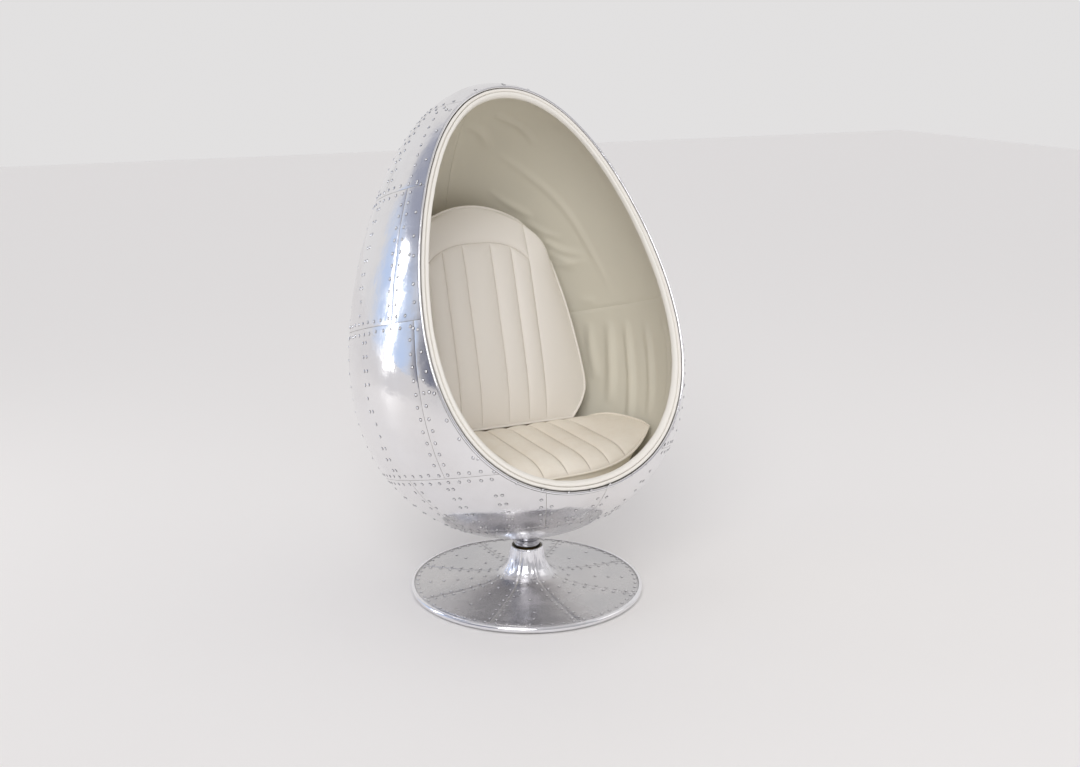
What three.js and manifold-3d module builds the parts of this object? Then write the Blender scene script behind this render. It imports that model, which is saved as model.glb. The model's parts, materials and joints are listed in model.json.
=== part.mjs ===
// Pod chair: an egg-shaped seat shell, clad in riveted aluminium sheet and lined in padded
// leather, that turns on a trumpet base. Millimetres, +Z up. The origin is on the floor, on the
// swivel axis, and the chair faces -Y.

import * as THREE from "three";
import { mergeVertices } from "three/addons/utils/BufferGeometryUtils.js";
import Module from "manifold-3d";

const wasm = await Module();
wasm.setup();

const degrees = THREE.MathUtils.degToRad;

// Clearances and cutters
const gap = 0.4;
const studClearance = 0.5;
const cutOverrun = 60;
const weldDistance = 0.001;

// Egg, measured on the outer face of the cladding. Its cross-section is deeper than it is wide
// and fuller behind, and its long axis leans back.
const eggHalfWidth = 519;
const eggHalfLength = 744;
const eggRise = 22;
const eggSetbackShare = 0.168;
const eggLean = degrees(15.9);
const eggDepthShare = 1.1;
const eggBackShare = 0.103;
const eggTaperShares = [1, -0.249, 0.068, 0.047];

// Opening: a face that leans back and bows forward
const openingForwardShare = 0.507;
const openingDropShare = 0.18;
const openingLean = degrees(25.15);
const openingBowShare = 8.8;
const openingSteps = 16;
const rimCentreShare = 0.062;

// Walls of the egg, from the outside in
const claddingThickness = 1.5;
const shellThickness = 5.5;
const liningThickness = 20;
const shellOuter = claddingThickness + gap;
const shellInner = shellOuter + shellThickness;
const liningOuter = shellInner + gap;
const liningInner = liningOuter + liningThickness;

// Rim: a metal strip round the edge, then a narrow welt, then a padded roll that turns in to the
// lining
const rimDepth = 12;
const stripProud = 1.5;
const stripWidth = 9;
const stripCrown = 3;
const weltWidth = 11;
const weltCrown = 4;
const rollCrest = 10;
const rollCrown = 5;
const rollLip = 1.2;
const rimStations = 48;

// Cladding bands from the crown down: where each ends as a share of the half turn from pole to
// pole, its rows of facets, and the sectors at which its sheets meet, counted round from the front
const sectors = 36;
const claddingBands = [
  { name: "crown", endShare: 0.15, rows: 3, joints: [] },
  { name: "upper", endShare: 0.32, rows: 3, joints: [0, 9, 18, 27, 36] },
  { name: "waist", endShare: 0.505, rows: 3, joints: [0, 7, 14, 22, 29, 36] },
  { name: "belly", endShare: 0.73, rows: 4, joints: [0, 6, 14, 22, 30, 36] },
  { name: "lower", endShare: 0.87, rows: 3, joints: [1, 9, 19, 28, 34, 37] },
  { name: "keel", endShare: 1, rows: 2, joints: [] },
];
const liningSeamBand = "waist";

// Base: flat plate, trumpet with a cladding of gores, rolled bead round the edge
const baseRadius = 386;
const beadWidth = 12;
const beadHeight = 19;
const floorPadThickness = 3;
const floorPadMargin = 12;
const basePlateThickness = 10;
const trumpetEdgeHeight = 22;
const trumpetNeckRadius = 52;
const trumpetWaistRadius = 36.4;
const coreThickness = 4.5;
const coreFootWidth = 16;
const goreCount = 8;
const goreColumns = 4;
const trumpetRows = 8;

// Swivel: a post welded on the plate, bushes and a thrust washer, and a spindle from the hub
const turnedSides = 24;
const spindleRadius = 14.7;
const bushBore = 15.2;
const bushWall = 5;
const bushLength = 22;
const postWall = 10;
const postFlangeRadius = 85;
const postFlangeThickness = 8;
const postHeight = 126;
const thrustWasherHeight = 7;
const thrustWasherRadius = 33;
const lowerBushRise = 42;
const retainerHeight = 9;
const hubRadius = 44;
const hubNeckGap = 2;
const hubBlockRadius = 112;
const hubBlockRise = 46;
const hubPlateRadius = 88;
const hubPlateThickness = 8;
const hubStudCount = 4;
const hubStudRadius = 4.5;
const hubStudCircle = 30;
const hubStudBite = 12;
const nutRadius = 19;
const nutHeight = 14;
const spindleStub = 6;
const nutSides = 6;

// Seat deck and back board
const deckRiseShare = 0.2433;
const deckThickness = 15;
const deckPadThickness = 8;
const deckPadMargin = 8;
const cleatWidth = 60;
const cleatLength = 110;
const sideCleatForward = 50;
const backBoardThickness = 12;
const backBoardShare = 0.92;
const backCleatWidth = 120;
const backCleatHeight = 50;
const backCleatRiseShare = 0.17;

// Seat cushion: half-widths at the piping as shares of the widest, from the front to the rear,
// and its sewn channels as shares of half the width
const seatWidthShare = 0.829;
const seatOutlineShares = [
  [1, 0],
  [1.02, 0.25],
  [0.93, 0.6],
  [0.77, 1],
];
const seatSeamShares = [0.12, 0.357, 0.57, 0.77, 1];
const seatFrontShare = 0.452;
const seatFrontBowShare = 0.351;
const seatFrontFullness = 2.6;
const seatRearShare = 0.555;
const seatEdgeThickness = 87;
const seatSideLift = 63;
const seatCrown = 46;
const seatFrontRoundness = 4;
const seatRearRoundness = 6;
const seatFootShare = 0.79;
const seatDrawIn = 5;
const seatGroove = 6;
const seatRows = 12;

// Back cushion, in a frame that stands on the seat and leans back: half-widths as shares of the
// widest from its foot to its top, channels that end under an arched seam, and a plain border
const backLean = degrees(18);
const backAside = 12;
const backFootShare = 0.505;
const backFootRise = 31;
const backHeightShare = 1.032;
const backWidthShare = 0.705;
const backOutlineShares = [
  [0.82, 0],
  [0.95, 0.08],
  [1, 0.18],
  [0.935, 0.45],
  [0.845, 0.65],
  [0.75, 0.785],
  [0.58, 0.897],
  [0.31, 0.978],
  [0, 1],
];
const backSeamShares = [0.142, 0.352, 0.535, 1];
const backArchShare = 0.826;
const backArchDrop = 70;
const backTopDrop = 64;
const backCornerArchShare = 0.61;
const backCornerTopShare = 0.72;
const backBoxing = 75;
const backCrown = 48;
const backDrawIn = 5;
const backGroove = 6;
const backRowsBelowArch = 9;
const backRowsAboveArch = 4;
const cushionLayers = 3;
const cushionRoundness = 4;

// Places that follow from the sizes above
const plateLow = floorPadThickness + gap;
const plateTop = plateLow + basePlateThickness;
const plateRadius = baseRadius - beadWidth - gap;
const postFoot = plateTop + gap;
const postTop = postFoot + postHeight;
const postBore = bushBore + bushWall + gap;
const lowerBushLow = postFoot + lowerBushRise;
const washerLow = postTop + gap;
const washerTop = washerLow + thrustWasherHeight;
const hubLow = washerTop + gap;
const trumpetNeckHeight = hubLow - hubNeckGap;
const eggLowHeight = hubLow + eggRise;
const hubBlockTop = eggLowHeight + hubBlockRise;
const hubPlateLow = hubBlockTop + gap;
const hubPlateTop = hubPlateLow + hubPlateThickness;
const eggCentreHeight = eggLowHeight + eggHalfLength;
const eggCentreBack = eggHalfLength * eggSetbackShare;
const openingForward = eggHalfWidth * openingForwardShare;
const openingLevel = eggCentreHeight - eggHalfLength * openingDropShare;
const openingBow = eggHalfLength * openingBowShare;
const rimCentreHeight = eggCentreHeight + eggHalfLength * rimCentreShare;
const deckTop = eggLowHeight + eggHalfLength * deckRiseShare;
const deckPadTop = deckTop + gap + deckPadThickness;
const seatHalfWidth = eggHalfWidth * seatWidthShare;
const seatFront = eggHalfWidth * seatFrontShare;
const seatFrontBow = eggHalfWidth * seatFrontBowShare;
const seatRear = eggHalfWidth * seatRearShare;
const seatFoot = deckPadTop + gap;
const seatEdgeHeight = seatFoot + seatEdgeThickness;
const backFootForward = eggHalfWidth * backFootShare;
const backFootHeight = seatEdgeHeight + backFootRise;
const backHeight = eggHalfLength * backHeightShare;
const backHalfWidth = eggHalfWidth * backWidthShare;
const backArchHeight = backHeight * backArchShare;

// Materials
const finish = (color, roughness, metalness) =>
  new THREE.MeshStandardMaterial({ color, roughness, metalness });
const polishedAluminium = finish(0xd3d5d9, 0.22, 1);
const brightAluminium = finish(0xe6e8ec, 0.12, 1);
const steel = finish(0x8f9296, 0.4, 1);
const castIron = finish(0x3c3d40, 0.7, 0.6);
const bronze = finish(0xa87c45, 0.35, 1);
const rubber = finish(0x202020, 0.9, 0);
const fibreglass = finish(0xb9b7ab, 0.6, 0);
const plywood = finish(0xb98d5c, 0.7, 0);
const cushionLeather = finish(0xd5cdc0, 0.55, 0);
const liningLeather = finish(0xbdb49c, 0.6, 0);
const rimLeather = finish(0xd8d1c2, 0.5, 0);

const chair = new THREE.Group();

// Closed three.js geometry to a solid: corners welded and flat slivers dropped
function solid(geometry) {
  const bare = new THREE.BufferGeometry();
  bare.setAttribute("position", geometry.getAttribute("position"));
  bare.setIndex(geometry.getIndex());
  const welded = mergeVertices(bare, weldDistance);
  const corners = welded.getIndex().array;
  const triangles = [];
  for (let i = 0; i < corners.length; i += 3) {
    const [a, b, c] = corners.slice(i, i + 3);
    if (a !== b && b !== c && c !== a) triangles.push(a, b, c);
  }
  return new wasm.Manifold(
    new wasm.Mesh({
      numProp: 3,
      vertProperties: new Float32Array(welded.getAttribute("position").array),
      triVerts: new Uint32Array(triangles),
    }),
  );
}

// Names a solid as one piece of the chair
function addPiece(name, shape, material) {
  const faces = shape.getMesh();
  const geometry = new THREE.BufferGeometry();
  geometry.setAttribute("position", new THREE.BufferAttribute(faces.vertProperties, faces.numProp));
  geometry.setIndex(new THREE.BufferAttribute(faces.triVerts, 1));
  geometry.computeVertexNormals();
  const mesh = new THREE.Mesh(geometry, material);
  mesh.name = name;
  chair.add(mesh);
}

function moveVertices(geometry, place) {
  const spots = geometry.getAttribute("position");
  for (let i = 0; i < spots.count; i += 1) {
    const spot = place(new THREE.Vector3().fromBufferAttribute(spots, i), i);
    spots.setXYZ(i, spot.x, spot.y, spot.z);
  }
  return geometry;
}

// Unit box in rows and columns whose corners a formula places, from their shares of each side
function bentBox(columns, rows, layers, place) {
  const middleShare = 0.5;
  const box = new THREE.BoxGeometry(1, 1, 1, columns, rows, layers);
  return moveVertices(box, (spot) =>
    place(spot.x + middleShare, spot.y + middleShare, spot.z + middleShare),
  );
}

// Turned solid about +Z from a profile of [radius, height] that closes on itself or on the axis
function turned(profile, sides = turnedSides) {
  const points = profile.map(([radius, height]) => new THREE.Vector2(radius, height));
  const lathe = new THREE.LatheGeometry(points, sides);
  return solid(lathe.rotateX(degrees(90)));
}

function ring(inner, outer, low, high, sides = turnedSides) {
  return turned([[inner, low], [outer, low], [outer, high], [inner, high], [inner, low]], sides);
}

function disc(radius, low, high, sides = turnedSides) {
  return turned([[0, low], [radius, low], [radius, high], [0, high]], sides);
}

function block(from, to) {
  const box = new THREE.BoxGeometry(to[0] - from[0], to[1] - from[1], to[2] - from[2]);
  box.translate((from[0] + to[0]) / 2, (from[1] + to[1]) / 2, (from[2] + to[2]) / 2);
  return solid(box);
}

// Egg: radius at a polar angle from the crown, as a turned shape before it is made deeper
function eggRadius(polar, inset) {
  const up = Math.cos(polar);
  const taper = eggTaperShares.reduce((sum, share, power) => sum + share * up ** power, 0);
  return (eggHalfWidth - inset) * Math.sin(polar) * taper;
}

function eggPoint(polar, inset) {
  return new THREE.Vector2(eggRadius(polar, inset), (eggHalfLength - inset) * Math.cos(polar));
}

const eggPlace = new THREE.Matrix4()
  .makeBasis(
    new THREE.Vector3(1, 0, 0),
    new THREE.Vector3(0, Math.sin(eggLean), Math.cos(eggLean)),
    new THREE.Vector3(0, -Math.cos(eggLean), Math.sin(eggLean)),
  )
  .setPosition(0, eggCentreBack, eggCentreHeight);

// Makes a turned shape as deep as the egg, fuller behind, and leans it back
function toEgg(geometry) {
  const deepened = moveVertices(geometry, (spot) => {
    const radius = Math.hypot(spot.x, spot.z);
    const fullness = radius > weldDistance ? (eggBackShare * spot.z ** 2) / radius : 0;
    return spot.setZ(eggDepthShare * spot.z - fullness);
  });
  return deepened.applyMatrix4(eggPlace);
}

// Polar angles of the rows of facets, and the row at which each band starts
const rowAngles = [0];
for (const band of claddingBands) {
  band.firstRow = rowAngles.length - 1;
  const start = rowAngles[band.firstRow];
  const end = Math.PI * band.endShare;
  for (let row = 1; row <= band.rows; row += 1) {
    rowAngles.push(start + ((end - start) * row) / band.rows);
  }
  band.lastRow = rowAngles.length - 1;
}
const lastRow = rowAngles.length - 1;

// Whole egg at an inset from its outer face
function eggSolid(inset) {
  const points = rowAngles.map((polar) => eggPoint(polar, inset)).reverse();
  points[0].x = 0;
  return solid(toEgg(new THREE.LatheGeometry(points, sectors)));
}

// Cap or ring of wall between two rows and two insets, all the way round
function eggBand(firstRow, endRow, outer, inner) {
  const angles = rowAngles.slice(firstRow, endRow + 1);
  const shift = gap / 2 / eggHalfWidth;
  if (firstRow > 0) angles[0] += shift;
  if (endRow < lastRow) angles[angles.length - 1] -= shift;
  const outside = angles.map((polar) => eggPoint(polar, outer)).reverse();
  const inside = angles.map((polar) => eggPoint(polar, inner));
  const points = [...outside, ...inside];
  points.push(points[0].clone());
  for (const point of points) point.x = point.x < weldDistance ? 0 : point.x;
  return solid(toEgg(new THREE.LatheGeometry(points, sectors)));
}

// Bent sheet of cladding between two rows and two sectors, short of its neighbours by the gap
function claddingSheet(firstRow, endRow, firstSector, endSector) {
  const columns = endSector - firstSector;
  const rows = endRow - firstRow;
  const polarShift = gap / 2 / eggHalfWidth;
  const sheet = bentBox(columns, rows, 1, (across, up, out) => {
    const inset = out > 0.5 ? 0 : claddingThickness;
    const row = endRow - Math.round(up * rows);
    const polar = rowAngles[row] + (up === 0 ? -polarShift : 0) + (up === 1 ? polarShift : 0);
    const point = eggPoint(polar, inset);
    const roundShift = gap / 2 / point.x;
    const sector = firstSector + Math.round(across * columns);
    const side = (sector === firstSector ? 1 : 0) - (sector === endSector ? 1 : 0);
    const turn = (sector * 2 * Math.PI) / sectors + side * roundShift;
    return new THREE.Vector3(point.x * Math.sin(turn), point.y, point.x * Math.cos(turn));
  });
  return solid(toEgg(sheet));
}

// Opening: how far forward or back its face lies at a height, and the space in front of it
function openingFace(height) {
  const rise = height - openingLevel;
  return rise * Math.tan(openingLean) + rise ** 2 / (2 * openingBow) - openingForward;
}

function openingSlope(height) {
  return Math.tan(openingLean) + (height - openingLevel) / openingBow;
}

function openingNormal(height) {
  return new THREE.Vector3(0, -1, openingSlope(height)).normalize();
}

function openingCutter(setback) {
  const top = eggCentreHeight + eggHalfLength + cutOverrun;
  const front = -eggHalfLength - cutOverrun;
  const reach = eggHalfWidth + cutOverrun;
  const outline = new THREE.Shape();
  outline.moveTo(front, 0);
  for (let step = 0; step <= openingSteps; step += 1) {
    const height = (top * step) / openingSteps;
    const spot = new THREE.Vector3(0, openingFace(height), height);
    spot.addScaledVector(openingNormal(height), -setback);
    outline.lineTo(spot.y, spot.z);
  }
  outline.lineTo(front, top);
  const cutter = new THREE.ExtrudeGeometry(outline, { depth: 2 * reach, bevelEnabled: false });
  cutter.translate(0, 0, -reach);
  const sideways = new THREE.Matrix4().makeBasis(
    new THREE.Vector3(0, 1, 0),
    new THREE.Vector3(0, 0, 1),
    new THREE.Vector3(1, 0, 0),
  );
  return solid(cutter.applyMatrix4(sideways));
}

// Whether a point lies inside the egg at an inset
function insideEgg(spot, inset) {
  const local = spot.clone().applyMatrix4(eggPlace.clone().invert());
  const up = local.y / (eggHalfLength - inset);
  if (Math.abs(up) >= 1) return false;
  const radius = eggRadius(Math.acos(up), inset);
  const sideShare = spot.x / radius;
  if (Math.abs(sideShare) >= 1) return false;
  const depthShare = 1 - sideShare ** 2;
  const middle = -radius * eggBackShare * depthShare;
  return Math.abs(local.z - middle) < radius * eggDepthShare * Math.sqrt(depthShare);
}

// Point of the opening's face in a direction from the middle of the rim, at an inset
function rimPoint(turn, inset) {
  let near = 0;
  let far = eggHalfLength + cutOverrun;
  const spot = new THREE.Vector3();
  while (far - near > weldDistance) {
    const reach = (near + far) / 2;
    const height = rimCentreHeight + reach * Math.cos(turn);
    spot.set(-reach * Math.sin(turn), openingFace(height), height);
    if (insideEgg(spot, inset)) near = reach;
    else far = reach;
  }
  return spot;
}

// Direction across the opening's face, square to the rim and towards its middle
function rimInwards(turn, inset) {
  const step = Math.PI / rimStations;
  const along = rimPoint(turn + step, inset).sub(rimPoint(turn - step, inset));
  return openingNormal(rimPoint(turn, inset).z).cross(along).normalize();
}

// Ring that follows the rim: its section is in [inset of an edge, distance inwards from that edge,
// lift in front of the opening's face]
function rimRing(section) {
  const points = section.map(
    ([inset, inwards, lift]) => new THREE.Vector2(eggHalfWidth - inset - inwards, lift),
  );
  points.push(points[0].clone());
  const lathe = new THREE.LatheGeometry(points, rimStations);
  return solid(
    moveVertices(lathe, (spot, index) => {
      const [inset, inwards, lift] = section[(index % points.length) % section.length];
      const turn = Math.atan2(spot.x, spot.z);
      const point = rimPoint(turn, inset).addScaledVector(rimInwards(turn, inset), inwards);
      return point.addScaledVector(openingNormal(point.z), lift);
    }),
  );
}

// Trumpet of the base: a hyperbola from the neck to the edge, in even ratios of its flare
const trumpetEdgeRadius = baseRadius - beadWidth - gap;
const trumpetFlare =
  (trumpetNeckHeight - trumpetEdgeHeight) /
  (1 / (trumpetNeckRadius - trumpetWaistRadius) - 1 / (trumpetEdgeRadius - trumpetWaistRadius));

function trumpetPoint(share, inset) {
  const neck = trumpetNeckRadius - trumpetWaistRadius;
  const edge = trumpetEdgeRadius - trumpetWaistRadius;
  const out = neck * (edge / neck) ** share;
  const height = trumpetEdgeHeight + trumpetFlare * (1 / out - 1 / edge);
  const normal = new THREE.Vector2(trumpetFlare / out ** 2, 1).normalize();
  return new THREE.Vector2(trumpetWaistRadius + out, height).addScaledVector(normal, -inset);
}

function trumpetGore(index) {
  const first = index * goreColumns;
  const sides = goreCount * goreColumns;
  const sheet = bentBox(goreColumns, trumpetRows, 1, (across, up, out) => {
    const inset = out > 0.5 ? 0 : claddingThickness;
    const point = trumpetPoint(1 - up, inset);
    const side = (across === 0 ? 1 : 0) - (across === 1 ? 1 : 0);
    const turn = ((first + across * goreColumns) * 2 * Math.PI) / sides;
    const shifted = turn + (side * gap) / 2 / point.x;
    return new THREE.Vector3(point.x * Math.sin(shifted), point.y, point.x * Math.cos(shifted));
  });
  return solid(sheet.rotateX(degrees(90)));
}

function trumpetCore(plateTop) {
  const outer = claddingThickness + gap;
  const profile = [];
  for (let row = trumpetRows; row >= 0; row -= 1) {
    profile.push(trumpetPoint(row / trumpetRows, outer).toArray());
  }
  for (let row = 0; row < trumpetRows; row += 1) {
    profile.push(trumpetPoint(row / trumpetRows, outer + coreThickness).toArray());
  }
  const [edgeRadius] = profile[0];
  profile.push([edgeRadius - coreFootWidth, trumpetEdgeHeight - outer - coreThickness]);
  profile.push([edgeRadius - coreFootWidth, plateTop + gap]);
  profile.push([edgeRadius, plateTop + gap]);
  profile.push(profile[0]);
  return turned(profile, goreCount * goreColumns);
}

// Base: plate, trumpet, bead, post, bushes and washer. All of it stays still.
const baseSides = goreCount * goreColumns;

function addBase() {
  addPiece("floor_pad", disc(plateRadius - floorPadMargin, 0, floorPadThickness, baseSides), rubber);
  addPiece("base_plate", disc(plateRadius, plateLow, plateTop, baseSides), castIron);
  addPiece("trumpet_core", trumpetCore(plateTop), fibreglass);
  for (let index = 0; index < goreCount; index += 1) {
    addPiece(`trumpet_gore_${index + 1}`, trumpetGore(index), polishedAluminium);
  }
  const beadInner = baseRadius - beadWidth;
  const beadTop = plateLow + beadHeight;
  const bulge = beadWidth / 3;
  const bead = [
    [beadInner, plateLow],
    [baseRadius - bulge, plateLow],
    [baseRadius, plateLow + bulge],
    [baseRadius, beadTop - bulge],
    [baseRadius - bulge, beadTop],
    [beadInner, beadTop],
    [beadInner, plateLow],
  ];
  addPiece("base_bead", turned(bead, baseSides), brightAluminium);
}

function addSwivelBearing() {
  const postRadius = postBore + postWall;
  const post = [
    [postBore, postFoot],
    [postFlangeRadius, postFoot],
    [postFlangeRadius, postFoot + postFlangeThickness],
    [postRadius, postFoot + postFlangeThickness],
    [postRadius, postTop],
    [postBore, postTop],
    [postBore, postFoot],
  ];
  addPiece("pedestal_post", turned(post), steel);
  const bushOuter = bushBore + bushWall;
  const lowerBush = ring(bushBore, bushOuter, lowerBushLow, lowerBushLow + bushLength);
  const upperBush = ring(bushBore, bushOuter, postTop - bushLength, postTop);
  addPiece("lower_bush", lowerBush, bronze);
  addPiece("upper_bush", upperBush, bronze);
  addPiece("thrust_washer", ring(bushBore, thrustWasherRadius, washerLow, washerTop), bronze);
}

// Swivel hub under the egg, with the block and the studded plate inside it, and the spindle
function studPlaces() {
  const places = [];
  for (let index = 0; index < hubStudCount; index += 1) {
    const turn = ((index + 1 / 2) * 2 * Math.PI) / hubStudCount;
    places.push([hubStudCircle * Math.cos(turn), hubStudCircle * Math.sin(turn)]);
  }
  return places;
}

// Drills the spindle's hole, and the studs' holes from a height up, through a piece
function drilled(shape, holeFloor) {
  const top = hubPlateTop + cutOverrun;
  let rest = shape.subtract(disc(spindleRadius + studClearance, 0, top));
  for (const [x, y] of studPlaces()) {
    const hole = disc(hubStudRadius + studClearance, holeFloor, top).translate([x, y, 0]);
    rest = rest.subtract(hole);
  }
  return rest;
}

const eggUnderHub = eggSolid(-gap);
const eggWithinShell = eggSolid(shellInner + gap);

function addSwivelHub() {
  const studFoot = hubLow + hubStudBite;
  const hubBlank = disc(hubRadius, hubLow, hubBlockTop).subtract(eggUnderHub);
  addPiece("swivel_hub", drilled(hubBlank, studFoot - studClearance), brightAluminium);
  const blockBlank = disc(hubBlockRadius, hubLow, hubBlockTop).intersect(eggWithinShell);
  addPiece("hub_block", drilled(blockBlank, hubLow), plywood);
  const spindleHole = disc(spindleRadius + studClearance, 0, hubPlateTop + cutOverrun);
  let plate = disc(hubPlateRadius, hubPlateLow, hubPlateTop).subtract(spindleHole);
  for (const [x, y] of studPlaces()) {
    const stud = disc(hubStudRadius, studFoot, hubPlateTop, turnedSides / 2);
    plate = plate.add(stud.translate([x, y, 0]));
  }
  addPiece("hub_plate", plate, steel);
}

function addSpindle() {
  const nutLow = hubPlateTop + gap;
  const retainerTop = lowerBushLow - gap;
  const retainerLow = retainerTop - retainerHeight;
  const spindleLow = retainerLow - spindleStub;
  const spindleTop = nutLow + nutHeight + spindleStub;
  addPiece("spindle", disc(spindleRadius, spindleLow, spindleTop), steel);
  const grip = spindleRadius + gap;
  addPiece("retaining_ring", ring(grip, bushBore + bushWall - gap, retainerLow, retainerTop), steel);
  const nut = disc(nutRadius, nutLow, nutLow + nutHeight, nutSides);
  addPiece("spindle_nut", nut.subtract(disc(grip, 0, nutLow + nutHeight + cutOverrun)), steel);
}

// Egg shell, its cladding, its lining and its rim
const behindRim = openingCutter(rimDepth + gap);

function addShell() {
  const wall = eggSolid(shellOuter).subtract(eggSolid(shellInner));
  addPiece("egg_shell", drilled(wall.subtract(behindRim), hubLow), fibreglass);
}

function addCladding() {
  for (const band of claddingBands) {
    const { name, firstRow, lastRow: endRow, joints } = band;
    if (joints.length === 0) {
      const cap = eggBand(firstRow, endRow, 0, claddingThickness).subtract(behindRim);
      const piece = name === "keel" ? drilled(cap, hubLow) : cap;
      addPiece(`cladding_${name}`, piece, polishedAluminium);
    }
    for (let index = 0; index + 1 < joints.length; index += 1) {
      const sheet = claddingSheet(firstRow, endRow, joints[index], joints[index + 1]);
      const shown = sheet.subtract(behindRim);
      addPiece(`cladding_${name}_${index + 1}`, shown, polishedAluminium);
    }
  }
}

function addLining() {
  const seamRow = claddingBands.find(({ name }) => name === liningSeamBand).lastRow;
  const reach = eggHalfWidth + cutOverrun;
  const back = eggCentreBack + eggHalfLength;
  const high = eggCentreHeight + eggHalfLength + cutOverrun;
  const above = deckTop + gap;
  const halves = {
    left: block([-reach, -back, above], [-gap / 2, back + reach, high]),
    right: block([gap / 2, -back, above], [reach, back + reach, high]),
  };
  const hood = eggBand(0, seamRow, liningOuter, liningInner).subtract(behindRim);
  const side = eggBand(seamRow, lastRow, liningOuter, liningInner).subtract(behindRim);
  for (const [hand, half] of Object.entries(halves)) {
    addPiece(`lining_hood_${hand}`, hood.intersect(half), liningLeather);
    addPiece(`lining_side_${hand}`, side.intersect(half), liningLeather);
  }
}

function addRim() {
  const stripEnd = stripWidth - stripProud;
  const strip = [
    [-stripProud, 0, -rimDepth],
    [-stripProud, 0, -stripCrown],
    [stripProud, 0, 0],
    [stripEnd - stripProud, 0, 0],
    [stripEnd, 0, -stripCrown],
    [stripEnd, 0, -rimDepth],
  ];
  const weltEdge = stripEnd + gap;
  const welt = [
    [weltEdge, 0, -rimDepth],
    [weltEdge, 0, 0],
    [weltEdge, weltWidth / 3, weltCrown],
    [weltEdge, weltWidth - weltWidth / 3, weltCrown],
    [weltEdge, weltWidth, 0],
    [weltEdge, weltWidth, -rimDepth],
  ];
  const rollStart = weltWidth + gap;
  const rollEdge = liningInner + rollLip;
  const roll = [
    [weltEdge, rollStart, -rimDepth],
    [weltEdge, rollStart, 0],
    [weltEdge, rollStart + rollCrest / 3, rollCrown],
    [weltEdge, rollStart + rollCrest, rollCrown - rollLip],
    [rollEdge, 0, -rollCrown],
    [rollEdge, 0, -rimDepth],
  ];
  addPiece("rim_strip", rimRing(strip), brightAluminium);
  addPiece("rim_welt", rimRing(welt), rimLeather);
  addPiece("rim_roll", rimRing(roll), rimLeather);
}

// Seat deck on its cleats, with a thin pad that shows round the seat cushion
function addDeck() {
  const reach = eggHalfWidth + cutOverrun;
  const far = eggCentreBack + eggHalfLength;
  const deckLow = deckTop - deckThickness;
  const deck = block([-reach, -far, deckLow], [reach, far, deckTop]).intersect(eggWithinShell);
  addPiece("seat_deck", deck, plywood);
  const pad = block([-reach, -far, deckTop + gap], [reach, seatRear + deckPadMargin, deckPadTop]);
  addPiece("deck_pad", pad.intersect(eggSolid(liningInner + gap)), liningLeather);
  const cleatTop = deckLow - gap;
  const half = cleatWidth / 2;
  const { max } = deck.boundingBox();
  const side = max[0] - cleatLength;
  const rear = max[1] - cleatLength;
  const cleats = {
    left: [[-reach, -sideCleatForward - half], [-side, half - sideCleatForward]],
    right: [[side, -sideCleatForward - half], [reach, half - sideCleatForward]],
    rear: [[-half, rear], [half, far]],
  };
  for (const [place, [from, to]] of Object.entries(cleats)) {
    const cleat = block([...from, 0], [...to, cleatTop]).intersect(eggWithinShell);
    addPiece(`deck_cleat_${place}`, cleat, plywood);
  }
}

// Spot on the back cushion's frame: across, up its lean, and forward of its piping
function backSpot(across, up, forward) {
  return new THREE.Vector3(
    backAside + across,
    backFootForward + up * Math.sin(backLean) - forward * Math.cos(backLean),
    backFootHeight + up * Math.cos(backLean) + forward * Math.sin(backLean),
  );
}

// Half the width at a share of the length of a smooth outline
function outlineWidth(outline, lengthShare) {
  let near = 0;
  let far = 1;
  while (far - near > weldDistance / eggHalfLength) {
    const middle = (near + far) / 2;
    if (outline.getPoint(middle).y < lengthShare) near = middle;
    else far = middle;
  }
  return outline.getPoint(near).x;
}

function smoothOutline(shares, halfWidth) {
  return new THREE.SplineCurve(
    shares.map(([width, length]) => new THREE.Vector2(width * halfWidth, length)),
  );
}

const backOutline = smoothOutline(backOutlineShares, backHalfWidth);

// Back board that stands on the deck behind the cushion, and the cleat that holds its top
function addBackBoard() {
  const behind = -backBoxing - gap;
  const foot = deckTop - backFootHeight - cutOverrun;
  const steps = 2 * backOutlineShares.length;
  const half = outlineWidth(backOutline, 0) * backBoardShare;
  const edge = new THREE.Shape();
  edge.moveTo(-half, foot);
  edge.lineTo(half, foot);
  for (let step = -steps; step <= steps; step += 1) {
    const heightShare = 1 - Math.abs(step) / steps;
    const across = -Math.sign(step) * outlineWidth(backOutline, heightShare);
    edge.lineTo(across * backBoardShare, heightShare * backHeight * backBoardShare);
  }
  const board = new THREE.ExtrudeGeometry(edge, { depth: backBoardThickness, bevelEnabled: false });
  moveVertices(board, (spot) => backSpot(spot.x, spot.y, spot.z + behind - backBoardThickness));
  const reach = eggHalfWidth + cutOverrun;
  const belowDeck = block([-reach, -reach, 0], [reach, reach, deckTop + gap]);
  addPiece("back_board", solid(board).subtract(belowDeck), plywood);
  const cleatHalf = backCleatWidth / 2;
  const low = eggCentreHeight + eggHalfLength * backCleatRiseShare;
  const high = low + backCleatHeight;
  const far = eggCentreBack + eggHalfLength;
  const behindBoard = bentBox(1, 1, 1, (across, up, out) =>
    backSpot(
      (2 * across - 1) * reach,
      up * backHeight,
      out > 0.5 ? far : behind - backBoardThickness - gap,
    ),
  );
  const cleat = block([-cleatHalf, 0, low], [cleatHalf, far, high])
    .subtract(solid(behindBoard))
    .intersect(eggSolid(liningInner + gap));
  addPiece("back_cleat", cleat, plywood);
}

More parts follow.
